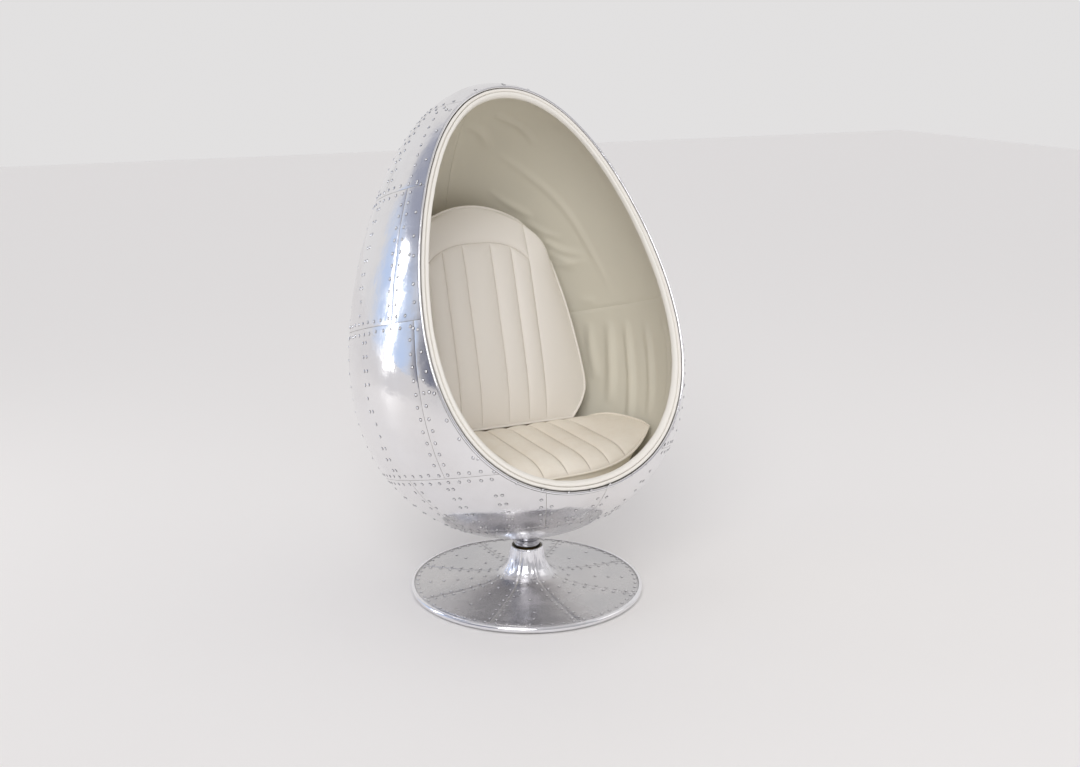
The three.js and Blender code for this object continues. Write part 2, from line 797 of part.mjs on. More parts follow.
// Cushion sewn in channels: place is called with the share across (-1 to 1), along and outwards,
// the grid row, and whether the grid line is a seam
function sewnCushion(seamShares, rows, place) {
  const lines = seamShares.flatMap((seam, index) => [
    index > 0 ? (seamShares[index - 1] + seam) / 2 : 0,
    seam,
  ]);
  const half = lines.length - 1;
  const cushion = bentBox(2 * half, rows, cushionLayers, (across, along, out) => {
    const line = Math.round(2 * half * across) - half;
    const onSeam = line % 2 !== 0 && Math.abs(line) < half;
    const side = Math.sign(line) * lines[Math.abs(line)];
    return place(side, Math.round(along * rows), out, onSeam);
  });
  return solid(cushion);
}

// Rise of a cushion's face: none at its edges, 1 over its middle
function swell(across, along, roundness) {
  return (1 - Math.abs(across) ** cushionRoundness) * (1 - Math.abs(along) ** roundness);
}

function addSeatCushion() {
  const outline = smoothOutline(seatOutlineShares, seatHalfWidth);
  const cushion = sewnCushion(seatSeamShares, seatRows, (side, row, up, onSeam) => {
    const backShare = row / seatRows;
    const run = 2 * backShare - 1;
    const roundness = run < 0 ? seatFrontRoundness : seatRearRoundness;
    const height = seatCrown - (onSeam ? seatGroove : 0);
    const lift = seatSideLift * Math.abs(side) ** 3 * (1 - Math.max(0, run) ** 2);
    const top = seatEdgeHeight + lift + height * swell(side, run, roundness);
    const drawn = seatDrawIn * Math.sin(Math.PI * up);
    const half = outlineWidth(outline, backShare) * THREE.MathUtils.lerp(seatFootShare, 1, up);
    const nose = seatFrontBow * Math.abs(side) ** seatFrontFullness - seatFront;
    return new THREE.Vector3(
      side * (half - drawn),
      THREE.MathUtils.lerp(nose, seatRear, backShare) - drawn * run,
      THREE.MathUtils.lerp(seatFoot, top, up),
    );
  });
  addPiece("seat_cushion", cushion, cushionLeather);
}

function addBackCushion() {
  const rows = backRowsBelowArch + backRowsAboveArch;
  const border = backSeamShares[backSeamShares.length - 2];
  const topReach = outlineWidth(backOutline, 1 - backTopDrop / backHeight);
  const cushion = sewnCushion(backSeamShares, rows, (side, row, out, onSeam) => {
    const below = Math.min(1, row / backRowsBelowArch);
    const above = Math.max(0, row - backRowsBelowArch) / backRowsAboveArch;
    const spread = Math.min(1, Math.abs(side) / border);
    const beyond = Math.max(0, Math.abs(side) - border) / (1 - border);
    const arch = below * backArchHeight - backArchDrop * below ** 3 * spread ** 3;
    const middle = THREE.MathUtils.lerp(arch, backHeight - backTopDrop * spread ** 2, above);
    const corner = THREE.MathUtils.lerp(below * backCornerArchShare, backCornerTopShare, above);
    const up = THREE.MathUtils.lerp(middle, corner * backHeight, beyond);
    const reach = THREE.MathUtils.lerp(border * backHalfWidth, topReach, above);
    const chord = THREE.MathUtils.lerp(spread * reach, outlineWidth(backOutline, corner), beyond);
    const bulge = above * 4 * beyond * (1 - beyond);
    const edge = outlineWidth(backOutline, up / backHeight);
    const across = Math.sign(side) * THREE.MathUtils.lerp(chord, edge, bulge);
    const rise = (2 * up) / backHeight - 1;
    const onArch = row === backRowsBelowArch && Math.abs(side) <= border;
    const onSide = Math.abs(side) === border;
    const inSeam = onArch || onSide || (onSeam && above === 0);
    const height = backCrown - (inSeam ? backGroove : 0);
    const face = row < rows ? height * swell(side, rise, cushionRoundness) : 0;
    const drawn = backDrawIn * Math.sin(Math.PI * out);
    return backSpot(
      across - side * drawn,
      up - rise * drawn,
      THREE.MathUtils.lerp(-backBoxing, face, out),
    );
  });
  addPiece("back_cushion", cushion, cushionLeather);
}

addBase();
addSwivelBearing();
addSwivelHub();
addSpindle();
addShell();
addCladding();
addLining();
addRim();
addDeck();
addBackBoard();
addSeatCushion();
addBackCushion();

export default chair;
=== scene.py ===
"""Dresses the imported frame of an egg-shaped pod chair: riveted sheet metal, leather and seams."""

import json
import random
from math import acos, atan2, copysign, cos, exp, hypot, pi, radians, sin, sqrt, tan

import bmesh
import bpy
from mathutils import Matrix, Vector, noise
from mathutils.geometry import intersect_point_line


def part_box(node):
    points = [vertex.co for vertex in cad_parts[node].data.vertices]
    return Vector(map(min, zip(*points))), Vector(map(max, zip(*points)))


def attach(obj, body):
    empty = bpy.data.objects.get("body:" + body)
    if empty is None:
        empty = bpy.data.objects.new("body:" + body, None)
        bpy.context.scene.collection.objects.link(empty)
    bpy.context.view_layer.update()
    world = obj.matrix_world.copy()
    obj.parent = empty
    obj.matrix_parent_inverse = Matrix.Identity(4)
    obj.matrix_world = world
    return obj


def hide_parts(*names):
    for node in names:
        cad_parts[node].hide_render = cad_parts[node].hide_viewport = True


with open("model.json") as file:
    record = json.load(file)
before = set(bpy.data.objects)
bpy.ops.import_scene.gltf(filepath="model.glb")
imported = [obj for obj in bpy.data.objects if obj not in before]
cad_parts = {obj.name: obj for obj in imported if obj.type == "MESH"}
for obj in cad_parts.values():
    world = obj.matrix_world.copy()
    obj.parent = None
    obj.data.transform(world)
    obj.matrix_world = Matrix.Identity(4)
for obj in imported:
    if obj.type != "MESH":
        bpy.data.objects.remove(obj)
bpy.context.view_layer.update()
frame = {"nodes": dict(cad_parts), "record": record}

bl_info = {
    "name": "Pod Chair Looks",
    "version": (1, 0, 0),
    "blender": (4, 5, 0),
    "location": "3D View > Sidebar > Pod Chair",
    "description": "Builds the riveted metal, leather and cushions of a pod chair on its frame",
    "category": "Object",
}

BASE = "base"
POD = "pod"


def length(name, description, default):
    about = {"name": name, "description": description, "default": default}
    return bpy.props.FloatProperty(unit="LENGTH", subtype="DISTANCE", **about)


def colour(name, description, default):
    about = {"name": name, "description": description, "default": (*default, 1.0)}
    return bpy.props.FloatVectorProperty(size=4, min=0.0, max=1.0, subtype="COLOR", **about)


class PodSizes(bpy.types.PropertyGroup):
    """Sizes of the pod chair, in metres"""

    egg_half_width: length("Egg half-width", "Half the width of the egg before its taper", 0.519)
    egg_half_length: length("Egg half-length", "Half the length of the egg", 0.744)
    egg_setback: length("Egg setback", "How far the egg's centre is behind the swivel", 0.125)
    egg_height: length("Egg height", "Height of the egg's centre over the floor", 0.914)
    sheet_thickness: length("Sheet thickness", "Thickness of the metal sheets", 0.0015)
    seam_width: length("Seam width", "Gap between two metal sheets", 0.0012)
    rivet_radius: length("Rivet radius", "Radius of a rivet's head", 0.0044)
    rivet_pitch: length("Rivet pitch", "Distance between two rivets in a row", 0.040)
    rivet_margin: length("Rivet margin", "Distance of a row of rivets from the seam", 0.017)
    lining_depth: length("Lining depth", "Distance of the lining's face from the skin", 0.0274)
    base_radius: length("Base radius", "Radius of the round base", 0.386)
    piping_radius: length("Piping radius", "Radius of the piping on the cushions", 0.0042)
    seam_depth: length("Seam depth", "Depth of the sewn channels", 0.012)


class PodColours(bpy.types.PropertyGroup):
    """Colours of the pod chair"""

    metal: colour("Sheet metal", "Colour of the metal sheets", (0.90, 0.895, 0.91))
    bright: colour("Bright metal", "Colour of the bright trim", (0.92, 0.92, 0.95))
    cushion: colour("Cushion leather", "Colour of the back cushion", (0.87, 0.80, 0.80))
    seat: colour("Seat leather", "Colour of the seat cushion", (0.94, 0.885, 0.795))
    # The lining is a darker, yellower leather; its colour is also darkened as painted shade for the
    # inside of the egg
    lining: colour("Lining leather", "Colour of the lining", (0.305, 0.245, 0.155))
    rim: colour("Rim leather", "Colour of the two rolls of the rim", (0.62, 0.57, 0.505))
    floor: colour("Floor", "Colour of the floor of the studio", (0.88, 0.86, 0.845))


def sizes():
    return bpy.context.scene.pod_sizes


def colours():
    return bpy.context.scene.pod_colours


# Shapes

# The egg leans back; its taper has a factor for each power of the height share, and its front is
# stretched and a little flat. The opening's face leans further and curves, round a point below the
# egg's centre.
LEAN = radians(15.9)
TAPER = (-0.249, 0.068, 0.047)
FRONT_STRETCH = 1.1
FRONT_FLATNESS = 0.103
OPENING_LEAN = radians(25.15)
OPENING_DROP = 0.18
OPENING_FORWARD = 0.507
OPENING_CURVE = 8.8
RIM_MIDDLE_RISE = 0.062


def lerp(a, b, share):
    return a + (b - a) * share


def clip(value):
    """Holds a value between 0 and 1."""
    return min(1.0, max(0.0, value))


def search(far, steps, reached):
    """Greatest value up to far that the test still lets through, found by halving."""
    near = 0.0
    for _ in range(steps):
        middle = (near + far) / 2
        if reached(middle):
            near = middle
        else:
            far = middle
    return near


def spline(points, share):
    """Point of a smooth curve through the points, at a share of their number."""
    span = len(points) - 1
    place = clip(share) * span
    i = min(int(place), span - 1)
    t = place - i
    p1, p2 = points[i], points[i + 1]
    p0 = points[i - 1] if i > 0 else p1
    p3 = points[i + 2] if i + 2 <= span else p2
    out = []
    for a, b, c, d in zip(p0, p1, p2, p3):
        v0, v1 = (c - a) / 2, (d - b) / 2
        square, cube = 3 * c - 3 * b - 2 * v0 - v1, 2 * b - 2 * c + v0 + v1
        out.append(cube * t**3 + square * t**2 + v0 * t + b)
    return out


def outline_width(outline, share):
    """Width share of an outline at a share of its length."""
    return spline(outline, search(1.0, 24, lambda place: spline(outline, place)[1] < share))[0]


def egg_radius(polar, inset):
    up = cos(polar)
    taper = 1 + TAPER[0] * up + TAPER[1] * up**2 + TAPER[2] * up**3
    return (sizes().egg_half_width - inset) * sin(polar) * taper


def egg_point(polar, turn, inset=0.0):
    """Point of the egg: polar from the crown, turn round from the front, at a depth."""
    s = sizes()
    radius = egg_radius(polar, inset)
    along = (s.egg_half_length - inset) * cos(polar)
    forward = radius * (FRONT_STRETCH * cos(turn) - FRONT_FLATNESS * cos(turn) ** 2)
    back = s.egg_setback + along * sin(LEAN) - forward * cos(LEAN)
    height = s.egg_height + along * cos(LEAN) + forward * sin(LEAN)
    return Vector((radius * sin(turn), back, height))


def egg_normal(polar, turn):
    """Outward direction of the egg's skin."""
    step = 0.002
    down = egg_point(polar + step, turn) - egg_point(polar - step, turn)
    across = egg_point(polar, turn + step) - egg_point(polar, turn - step)
    return down.cross(across).normalized()


def egg_axes(point):
    """How far a point is up the egg's leaning axis, and forward of it."""
    back, rise = point.y - sizes().egg_setback, point.z - sizes().egg_height
    return back * sin(LEAN) + rise * cos(LEAN), rise * sin(LEAN) - back * cos(LEAN)


def opening_rise(height):
    return height - (sizes().egg_height - OPENING_DROP * sizes().egg_half_length)


def opening_face(height):
    """How far back the face of the opening is at a height."""
    rise, s = opening_rise(height), sizes()
    curve = rise**2 / (2 * OPENING_CURVE * s.egg_half_length)
    return rise * tan(OPENING_LEAN) + curve - OPENING_FORWARD * s.egg_half_width


def opening_slope(height):
    return tan(OPENING_LEAN) + opening_rise(height) / (OPENING_CURVE * sizes().egg_half_length)


def opening_normal(height):
    return Vector((0, -1, opening_slope(height))).normalized()


def behind_opening(point):
    """How far a point is behind the face of the opening, square to it."""
    return (point.y - opening_face(point.z)) / hypot(1, opening_slope(point.z))


def inside_egg(point, inset):
    """Whether a point lies in the egg, by a depth at least."""
    along, forward = egg_axes(point)
    up = along / (sizes().egg_half_length - inset)
    if abs(up) >= 1:
        return False
    radius = egg_radius(acos(up), inset)
    side = point.x / radius
    if abs(side) >= 1:
        return False
    deep = 1 - side**2
    return abs(forward + FRONT_FLATNESS * radius * deep) < FRONT_STRETCH * radius * sqrt(deep)


def rim_point(turn, inset):
    """Point of the opening's face in a direction from the middle of the rim."""
    s = sizes()
    middle = s.egg_height + RIM_MIDDLE_RISE * s.egg_half_length

    def spot(reach):
        height = middle + reach * cos(turn)
        return Vector((reach * sin(turn), opening_face(height), height))

    return spot(search(s.egg_half_length, 22, lambda reach: inside_egg(spot(reach), inset)))


def everything(bm):
    return bm.verts[:] + bm.edges[:] + bm.faces[:]


def open_edges(bm):
    return [edge for edge in bm.edges if edge.is_boundary]


def cut_away(bm, place, direction):
    """Cuts away what lies behind a plane."""
    plane = {"plane_co": place, "plane_no": direction}
    bmesh.ops.bisect_plane(bm, geom=everything(bm), dist=1e-6, clear_inner=True, **plane)


def made_verts(made):
    return [item for item in made["geom"] if isinstance(item, bmesh.types.BMVert)]


def mesh_of(name, bm):
    mesh = bpy.data.meshes.new(name)
    bm.to_mesh(mesh)
    bm.free()
    return mesh


def new_object(name, data):
    thing = bpy.data.objects.new(name, data)
    bpy.context.scene.collection.objects.link(thing)
    return thing


def place_copy(bm, template, matrix):
    """Adds a copy of a small mesh to a bmesh, moved by a matrix."""
    first = len(bm.verts)
    bm.from_mesh(template)
    bm.verts.ensure_lookup_table()
    bmesh.ops.transform(bm, matrix=matrix, verts=bm.verts[first:])


def finish_piece(name, bm, body, material, replaced=None, flip=False):
    """Turns a bmesh into a piece that rides on a body, takes the finish of a name and may stand for
    a node of the frame."""
    if flip:
        bmesh.ops.recalc_face_normals(bm, faces=bm.faces)
    mesh = mesh_of(name, bm)
    for polygon in mesh.polygons:
        polygon.use_smooth = True
    piece = new_object(name, mesh)
    mesh.materials.append(finish(material))
    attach(piece, body)
    if replaced:
        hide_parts(replaced)
    return piece


def grid(columns, rows):
    """A flat grid with its corners at 0 and 1."""
    bm = bmesh.new()
    bmesh.ops.create_grid(bm, x_segments=columns, y_segments=rows, size=0.5)
    bmesh.ops.translate(bm, verts=bm.verts, vec=(0.5, 0.5, 0))
    return bm


def cut_opening(bm, setback):
    """Cuts away what is in front of the opening's face, set back square to it."""
    for vert in bm.verts:
        vert.co.y -= opening_face(vert.co.z)
    cut_away(bm, (0, setback * hypot(1, opening_slope(sizes().egg_height)), 0), (0, 1, 0))
    for vert in bm.verts:
        vert.co.y += opening_face(vert.co.z)


def thicken(bm, depth, inwards=True):
    """Gives an open sheet of the egg its thickness, into the egg or away from its middle."""
    bmesh.ops.recalc_face_normals(bm, faces=bm.faces)
    centre = Vector((0, sizes().egg_setback, sizes().egg_height))
    outward = sum(f.normal.dot(f.calc_center_median() - centre) > 0 for f in bm.faces)
    side = 1 if (outward * 2 > len(bm.faces)) == inwards else -1
    bm.normal_update()
    shifts = {vert: vert.normal * (-side * depth) for vert in bm.verts}
    rims = open_edges(bm)
    twins = bmesh.ops.duplicate(bm, geom=everything(bm))["vert_map"]
    for source, shift in shifts.items():
        twins[source].co += shift
    for edge in rims:
        first, last = edge.verts
        bm.faces.new((first, last, twins[last], twins[first]))
        edge.smooth = bm.edges.get((twins[first], twins[last])).smooth = False
    bmesh.ops.recalc_face_normals(bm, faces=bm.faces)


# Node groups and materials


def add_node(tree, kind, **settings):
    node = tree.nodes.new(kind)
    for key, value in settings.items():
        setattr(node, key, value)
    return node


def feed(tree, socket, value):
    """Gives a socket a plain value or a link."""
    if isinstance(value, (int, float, tuple)):
        socket.default_value = value
    else:
        tree.links.new(value, socket)


def new_group(name, **inputs):
    """Shader node group that puts out a colour, a roughness and a height; returns it with what
    it is given and the place on the object."""
    group = bpy.data.node_groups.new(name, "ShaderNodeTree")
    colour_kind, float_kind = "NodeSocketColor", "NodeSocketFloat"
    for label, default in inputs.items():
        kind = colour_kind if isinstance(default, tuple) else float_kind
        socket = group.interface.new_socket(label, in_out="INPUT", socket_type=kind)
        socket.default_value = default
    for label, kind in (("Colour", colour_kind), ("Roughness", float_kind), ("Height", float_kind)):
        group.interface.new_socket(label, in_out="OUTPUT", socket_type=kind)
    given = add_node(group, "NodeGroupInput").outputs
    return group, given, add_node(group, "ShaderNodeTexCoord").outputs["Object"]


def close_group(group, **results):
    leave = add_node(group, "NodeGroupOutput")
    for label, value in results.items():
        group.links.new(value, leave.inputs[label])
    return group


def noise_node(tree, place, scale, detail=3.0, roughness=0.5):
    node = add_node(tree, "ShaderNodeTexNoise")
    inputs = {"Scale": scale, "Detail": detail, "Roughness": roughness, "Vector": place}
    for key, value in inputs.items():
        feed(tree, node.inputs[key], value)
    return node.outputs["Fac"]


def stretched(tree, place, scale):
    node = add_node(tree, "ShaderNodeMapping")
    feed(tree, node.inputs["Scale"], scale)
    feed(tree, node.inputs["Vector"], place)
    return node.outputs["Vector"]


def spread(tree, value, low, high, to_low, to_high):
    """Maps a value from one range to another, held at its ends."""
    node = add_node(tree, "ShaderNodeMapRange")
    ends = ("From Min", "From Max", "To Min", "To Max", "Value")
    for key, number in zip(ends, (low, high, to_low, to_high, value)):
        feed(tree, node.inputs[key], number)
    return node.outputs["Result"]


def combine(tree, operation, first, second):
    node = add_node(tree, "ShaderNodeMath", operation=operation)
    for socket, value in zip(node.inputs, (first, second)):
        feed(tree, socket, value)
    return node.outputs[0]


def add_up(tree, *terms):
    """Sum of values; a pair is a value and its weight."""
    total = None
    for term in terms:
        value = combine(tree, "MULTIPLY", *term) if isinstance(term, tuple) else term
        total = value if total is None else combine(tree, "ADD", total, value)
    return total


def mix_colours(tree, share, first, second, blend="MIX"):
    node = add_node(tree, "ShaderNodeMix", data_type="RGBA", blend_type=blend)
    for index, value in ((0, share), (6, first), (7, second)):
        feed(tree, node.inputs[index], value)
    return node.outputs[2]


def hammered_sheet():
    """Dents, scratches and smudges of thin sheet metal that was beaten over a mould."""
    group, given, place = new_group(
        "hammered_sheet", Colour=(0.8, 0.8, 0.8, 1.0), Roughness=0.2, Dents=1.0
    )
    broad = noise_node(group, place, 3.2, 2.0)
    dents = noise_node(group, place, 14.0, 2.5, 0.45)
    small = noise_node(group, place, 48.0, 2.0, 0.5)
    smudge = noise_node(group, place, 7.0, 6.0, 0.62)
    scratches = noise_node(group, stretched(group, place, (1.0, 1.0, 0.06)), 420.0, 2.0, 0.6)
    height = add_up(group, (broad, 1.2), (dents, 0.9), (small, 0.16))
    stain = spread(group, smudge, 0.42, 0.72, 0.0, 0.35)
    shade = mix_colours(group, stain, given["Colour"], (0.74, 0.72, 0.72, 1.0))
    warm = spread(group, broad, 0.45, 0.65, 0.0, 0.25)
    dull = spread(group, smudge, 0.35, 0.7, -0.07, 0.12)
    scratched = spread(group, scratches, 0.3, 0.7, -0.02, 0.03)
    return close_group(
        group,
        Colour=mix_colours(group, warm, shade, (0.88, 0.85, 0.82, 1.0)),
        Roughness=add_up(group, given["Roughness"], dull, scratched),
        Height=combine(group, "MULTIPLY", height, given["Dents"]),
    )


def leather_grain():
    """Pebbled grain, soft creases and uneven dye of upholstery leather."""
    group, given, place = new_group(
        "leather_grain", Colour=(0.6, 0.5, 0.4, 1.0), Roughness=0.5, Creases=1.0
    )
    cells = add_node(group, "ShaderNodeTexVoronoi", feature="SMOOTH_F1")
    feed(group, cells.inputs["Scale"], 620.0)
    feed(group, cells.inputs["Vector"], place)
    pebbles = cells.outputs["Distance"]
    pores = noise_node(group, place, 1500.0, 2.0)
    creases = noise_node(group, place, 30.0, 5.0, 0.6)
    dye = noise_node(group, place, 5.0, 4.0, 0.55)
    blotch = noise_node(group, place, 38.0, 4.0, 0.6)
    tone = given["Colour"]
    for value, low, high, most, tint in (
        (dye, 0.35, 0.7, 0.5, (0.9, 0.86, 0.82, 1.0)),
        (blotch, 0.4, 0.75, 0.22, (0.86, 0.80, 0.74, 1.0)),
        (pebbles, 0.35, 0.7, 0.25, (0.8, 0.76, 0.7, 1.0)),
    ):
        share = spread(group, value, low, high, 0.0, most)
        tone = mix_colours(group, share, tone, tint, "MULTIPLY")
    return close_group(
        group,
        Colour=tone,
        Roughness=add_up(group, given["Roughness"], spread(group, creases, 0.3, 0.7, -0.06, 0.08)),
        Height=add_up(group, (pebbles, 0.22), (pores, 0.05), (creases, given["Creases"])),
    )


def rough_surface():
    """Speckle and unevenness of cast, moulded or turned surfaces."""
    grey, dark = (0.5, 0.5, 0.5, 1.0), (0.3, 0.3, 0.3, 1.0)
    group, given, place = new_group(
        "rough_surface", Colour=grey, Shade=dark, Roughness=0.5, Scale=100.0
    )
    speckle = noise_node(group, place, given["Scale"], 5.0)
    cloud = spread(group, noise_node(group, place, 9.0, 4.0), 0.35, 0.7, 0.0, 0.6)
    return close_group(
        group,
        Colour=mix_colours(group, cloud, given["Colour"], given["Shade"]),
        Roughness=add_up(group, given["Roughness"], spread(group, speckle, 0.3, 0.7, -0.06, 0.06)),
        Height=speckle,
    )


def ply_grain():
    """Long grain with darker growth lines."""
    group, given, place = new_group("ply_grain", Colour=(0.6, 0.42, 0.25, 1.0), Roughness=0.6)
    along = stretched(group, place, (1.0, 0.08, 1.0))
    grain = noise_node(group, along, 60.0, 6.0, 0.6)
    fibre = noise_node(group, along, 420.0, 3.0, 0.6)
    dark = spread(group, grain, 0.35, 0.7, 0.0, 0.7)
    return close_group(
        group,
        Colour=mix_colours(group, dark, given["Colour"], (0.36, 0.22, 0.11, 1.0)),
        Roughness=add_up(group, given["Roughness"], spread(group, fibre, 0.3, 0.7, -0.08, 0.08)),
        Height=add_up(group, grain, fibre),
    )


# Finishes by name. A colour is one of the pod's colours or a colour of its own. Metal: colour,
# roughness, dents, bump, colour of its masked parts, which is painted shade round the rivets and a
# painted highlight round the base's neck. Leather: colour, creases, roughness, shine.
# Plain: colour, shade, roughness, scale of the speckle, bump, metallic.
METALS = {
    "sheet_metal": ("metal", 0.13, 1.0, 0.0018, None),
    # The base is the skin's polished metal: its darker colour is a painted reflection of the darker
    # room, and its neck takes a painted highlight
    "base_metal": ((0.57, 0.565, 0.575, 1.0), 0.24, 1.0, 0.0012, (0.93, 0.93, 0.97, 1.0)),
    "bright_metal": ("bright", 0.14, 1.0, 0.002, None),
    # The rivets' dimples and the feet of their heads are coloured nearly black: painted shade round
    # each head
    "rivet_metal": ((0.80, 0.80, 0.82, 1.0), 0.22, 0.3, 0.001, (0.09, 0.085, 0.085, 1.0)),
    "collar_metal": ((0.42, 0.42, 0.45, 1.0), 0.2, 1.0, 0.002, None),
}
LEATHERS = {
    "cushion_leather": ("cushion", 0.7, 0.48, 0.4),
    "seat_leather": ("seat", 0.7, 0.48, 0.4),
    "lining_leather": ("lining", 0.9, 0.62, 0.25),
    "rim_leather": ("rim", 0.4, 0.46, 0.4),
}
LEATHER_BUMP = 0.0012
# Share of each leather's colour in the painted shade that the cushions' seams and piped edges take
SEAM_SHADE_SHARE = (0.36, 0.32, 0.29)
THREAD = {"Colour": (0.50, 0.43, 0.35, 1.0), "Roughness": 0.7, "Creases": 0.2}
BIRCH = {"Colour": (0.56, 0.39, 0.23, 1), "Roughness": 0.6}
GREY, DARK_GREY = (0.42, 0.42, 0.43, 1), (0.3, 0.3, 0.31, 1)
BRONZE, DARK_BRONZE = (0.5, 0.33, 0.14, 1), (0.38, 0.24, 0.1, 1)
PLAIN = {
    "turned_steel": (GREY, DARK_GREY, 0.34, 300.0, 0.0002, 1.0),
    "cast_iron": ((0.05, 0.05, 0.055, 1), (0.03, 0.03, 0.03, 1), 0.6, 260.0, 0.0008, 0.4),
    "bearing_bronze": (BRONZE, DARK_BRONZE, 0.34, 320.0, 0.0002, 1.0),
    "sheet_rubber": ((0.02, 0.02, 0.02, 1), (0.04, 0.04, 0.04, 1), 0.8, 500.0, 0.0004, 0.0),
    "moulded_resin": ((0.48, 0.46, 0.38, 1), (0.4, 0.38, 0.3, 1), 0.55, 140.0, 0.001, 0.0),
}
# Finish of a carried-over node by its slot; any other slot is leather
SLOT_FINISHES = {
    "steel": "turned_steel",
    "cast_iron": "cast_iron",
    "bronze": "bearing_bronze",
    "rubber": "sheet_rubber",
    "fibreglass": "moulded_resin",
    "plywood": "birch_plywood",
    "bright_aluminium": "bright_metal",
    "polished_aluminium": "sheet_metal",
}


def surface_material(name, make_group, values, bump, metallic=0.0, painted_light_colour=None, **sockets):
    """Material whose colour, roughness and height come from a shared group; the masked parts of a
    mesh take a colour of their own: painted shade at rivets and cushion seams, a painted highlight
    at the base's neck."""
    material = bpy.data.materials.new(name)
    material.use_nodes = True
    tree = material.node_tree
    shader = tree.nodes["Principled BSDF"]
    shader.inputs["Metallic"].default_value = metallic
    for socket, value in sockets.items():
        shader.inputs[socket.replace("_", " ")].default_value = value
    shared = bpy.data.node_groups.get(make_group.__name__) or make_group()
    node = add_node(tree, "ShaderNodeGroup", node_tree=shared)
    for socket, value in values.items():
        node.inputs[socket].default_value = value
    relief = add_node(tree, "ShaderNodeBump")
    relief.inputs["Distance"].default_value = bump
    relief.inputs["Strength"].default_value = 1.0
    shade = node.outputs["Colour"]
    if painted_light_colour:
        # Mixes in the colour of the painted shade or painted highlight that the piece carries
        mask = add_node(tree, "ShaderNodeAttribute", attribute_name="mask")
        shade = mix_colours(tree, mask.outputs["Fac"], shade, painted_light_colour)
    tree.links.new(shade, shader.inputs["Base Color"])
    tree.links.new(node.outputs["Roughness"], shader.inputs["Roughness"])
    tree.links.new(node.outputs["Height"], relief.inputs["Height"])
    tree.links.new(relief.outputs["Normal"], shader.inputs["Normal"])
    return material


def new_finish(name):
    if name in METALS:
        tint, roughness, dents, bump, painted_light_colour = METALS[name]
        tint = tuple(getattr(colours(), tint)) if isinstance(tint, str) else tint
        values = {"Colour": tint, "Roughness": roughness, "Dents": dents}
        return surface_material(name, hammered_sheet, values, bump, 1.0, painted_light_colour)
    if name in LEATHERS:
        key, creases, roughness, shine = LEATHERS[name]
        tint = tuple(getattr(colours(), key))
        values = {"Colour": tint, "Roughness": roughness, "Creases": creases}
        # Darker tone: painted shade in the cushions' seams and along their edges
        seam_shade_tone = tuple(share * part for share, part in zip(SEAM_SHADE_SHARE, tint)) + (1.0,)
        shine = {"Specular_IOR_Level": shine}
        return surface_material(name, leather_grain, values, LEATHER_BUMP, 0.0, seam_shade_tone, **shine)
    if name in PLAIN:
        tint, shade, roughness, scale, bump, metallic = PLAIN[name]
        values = {"Colour": tint, "Shade": shade, "Roughness": roughness, "Scale": scale}
        return surface_material(name, rough_surface, values, bump, metallic)
    if name == "birch_plywood":
        return surface_material(name, ply_grain, BIRCH, 0.0006)
    return surface_material(name, leather_grain, THREAD, 0.0003)


def finish(name):
    """The material of a name, made the first time that a piece asks for it."""
    return bpy.data.materials.get(name) or new_finish(name)


# Metal skin

# Bands of the skin from the crown down: name, the share of the half turn at which each ends, and
# the sectors of 36, counted round from the front, at which its sheets meet
SECTORS = 36
BANDS = (
    ("crown", 0.15, ()),
    ("upper", 0.32, (0, 9, 18, 27, 36)),
    ("waist", 0.505, (0, 7, 14, 22, 29, 36)),
    ("belly", 0.73, (0, 6, 14, 22, 30, 36)),
    ("lower", 0.87, (1, 9, 19, 28, 34, 37)),
    ("keel", 1.0, ()),
)
# The polar angle past which a band ends at the pole, and how near to a pole a grid comes
NEAR_POLE = 3.14
POLE_MARGIN = 0.0004
# Sheets: the cells of their grids, how far they lie under the egg's surface and end behind the
# opening's face, and the width and depth of their turned-in edges
SHEET_PITCH = 0.013
SHEET_DROP = 0.0004
SHEET_CUT = 0.0031
EDGE_WIDTH = 0.004
EDGE_TUCK = 0.0005
# Rivets: how flat a head is, the width of the dimple round it, how far it may stray, how far rows
# stay behind the opening's face, the two lines of a rib and the share of gaps in them, and how many
# groups follow the rim
HEAD_FLATNESS = 0.62
DIMPLE_WIDTH = 1.36
RIVET_JITTER = 0.0022
EDGE_ROW_START = 0.026
RIB_ROW_START = 0.05
RIB_LINES = (-0.011, 0.011)
RIB_GAPS = 0.15
RIM_GROUPS = 44


def pitch(fine):
    return fine


def skin_dent(point):
    """Small unevenness of hand-formed sheet."""
    low = noise.noise(point * 6.0) * 0.0011
    return low + noise.noise(point * 17.0 + Vector((3, 1, 7))) * 0.0006


def edge_share(share, steps, first):
    """Share of a grid line, with the first and the last step narrowed to a border."""
    line = round(share * steps)
    if line in (0, steps):
        return float(line > 0)
    return first + (1 - 2 * first) * (line - 1) / (steps - 2)


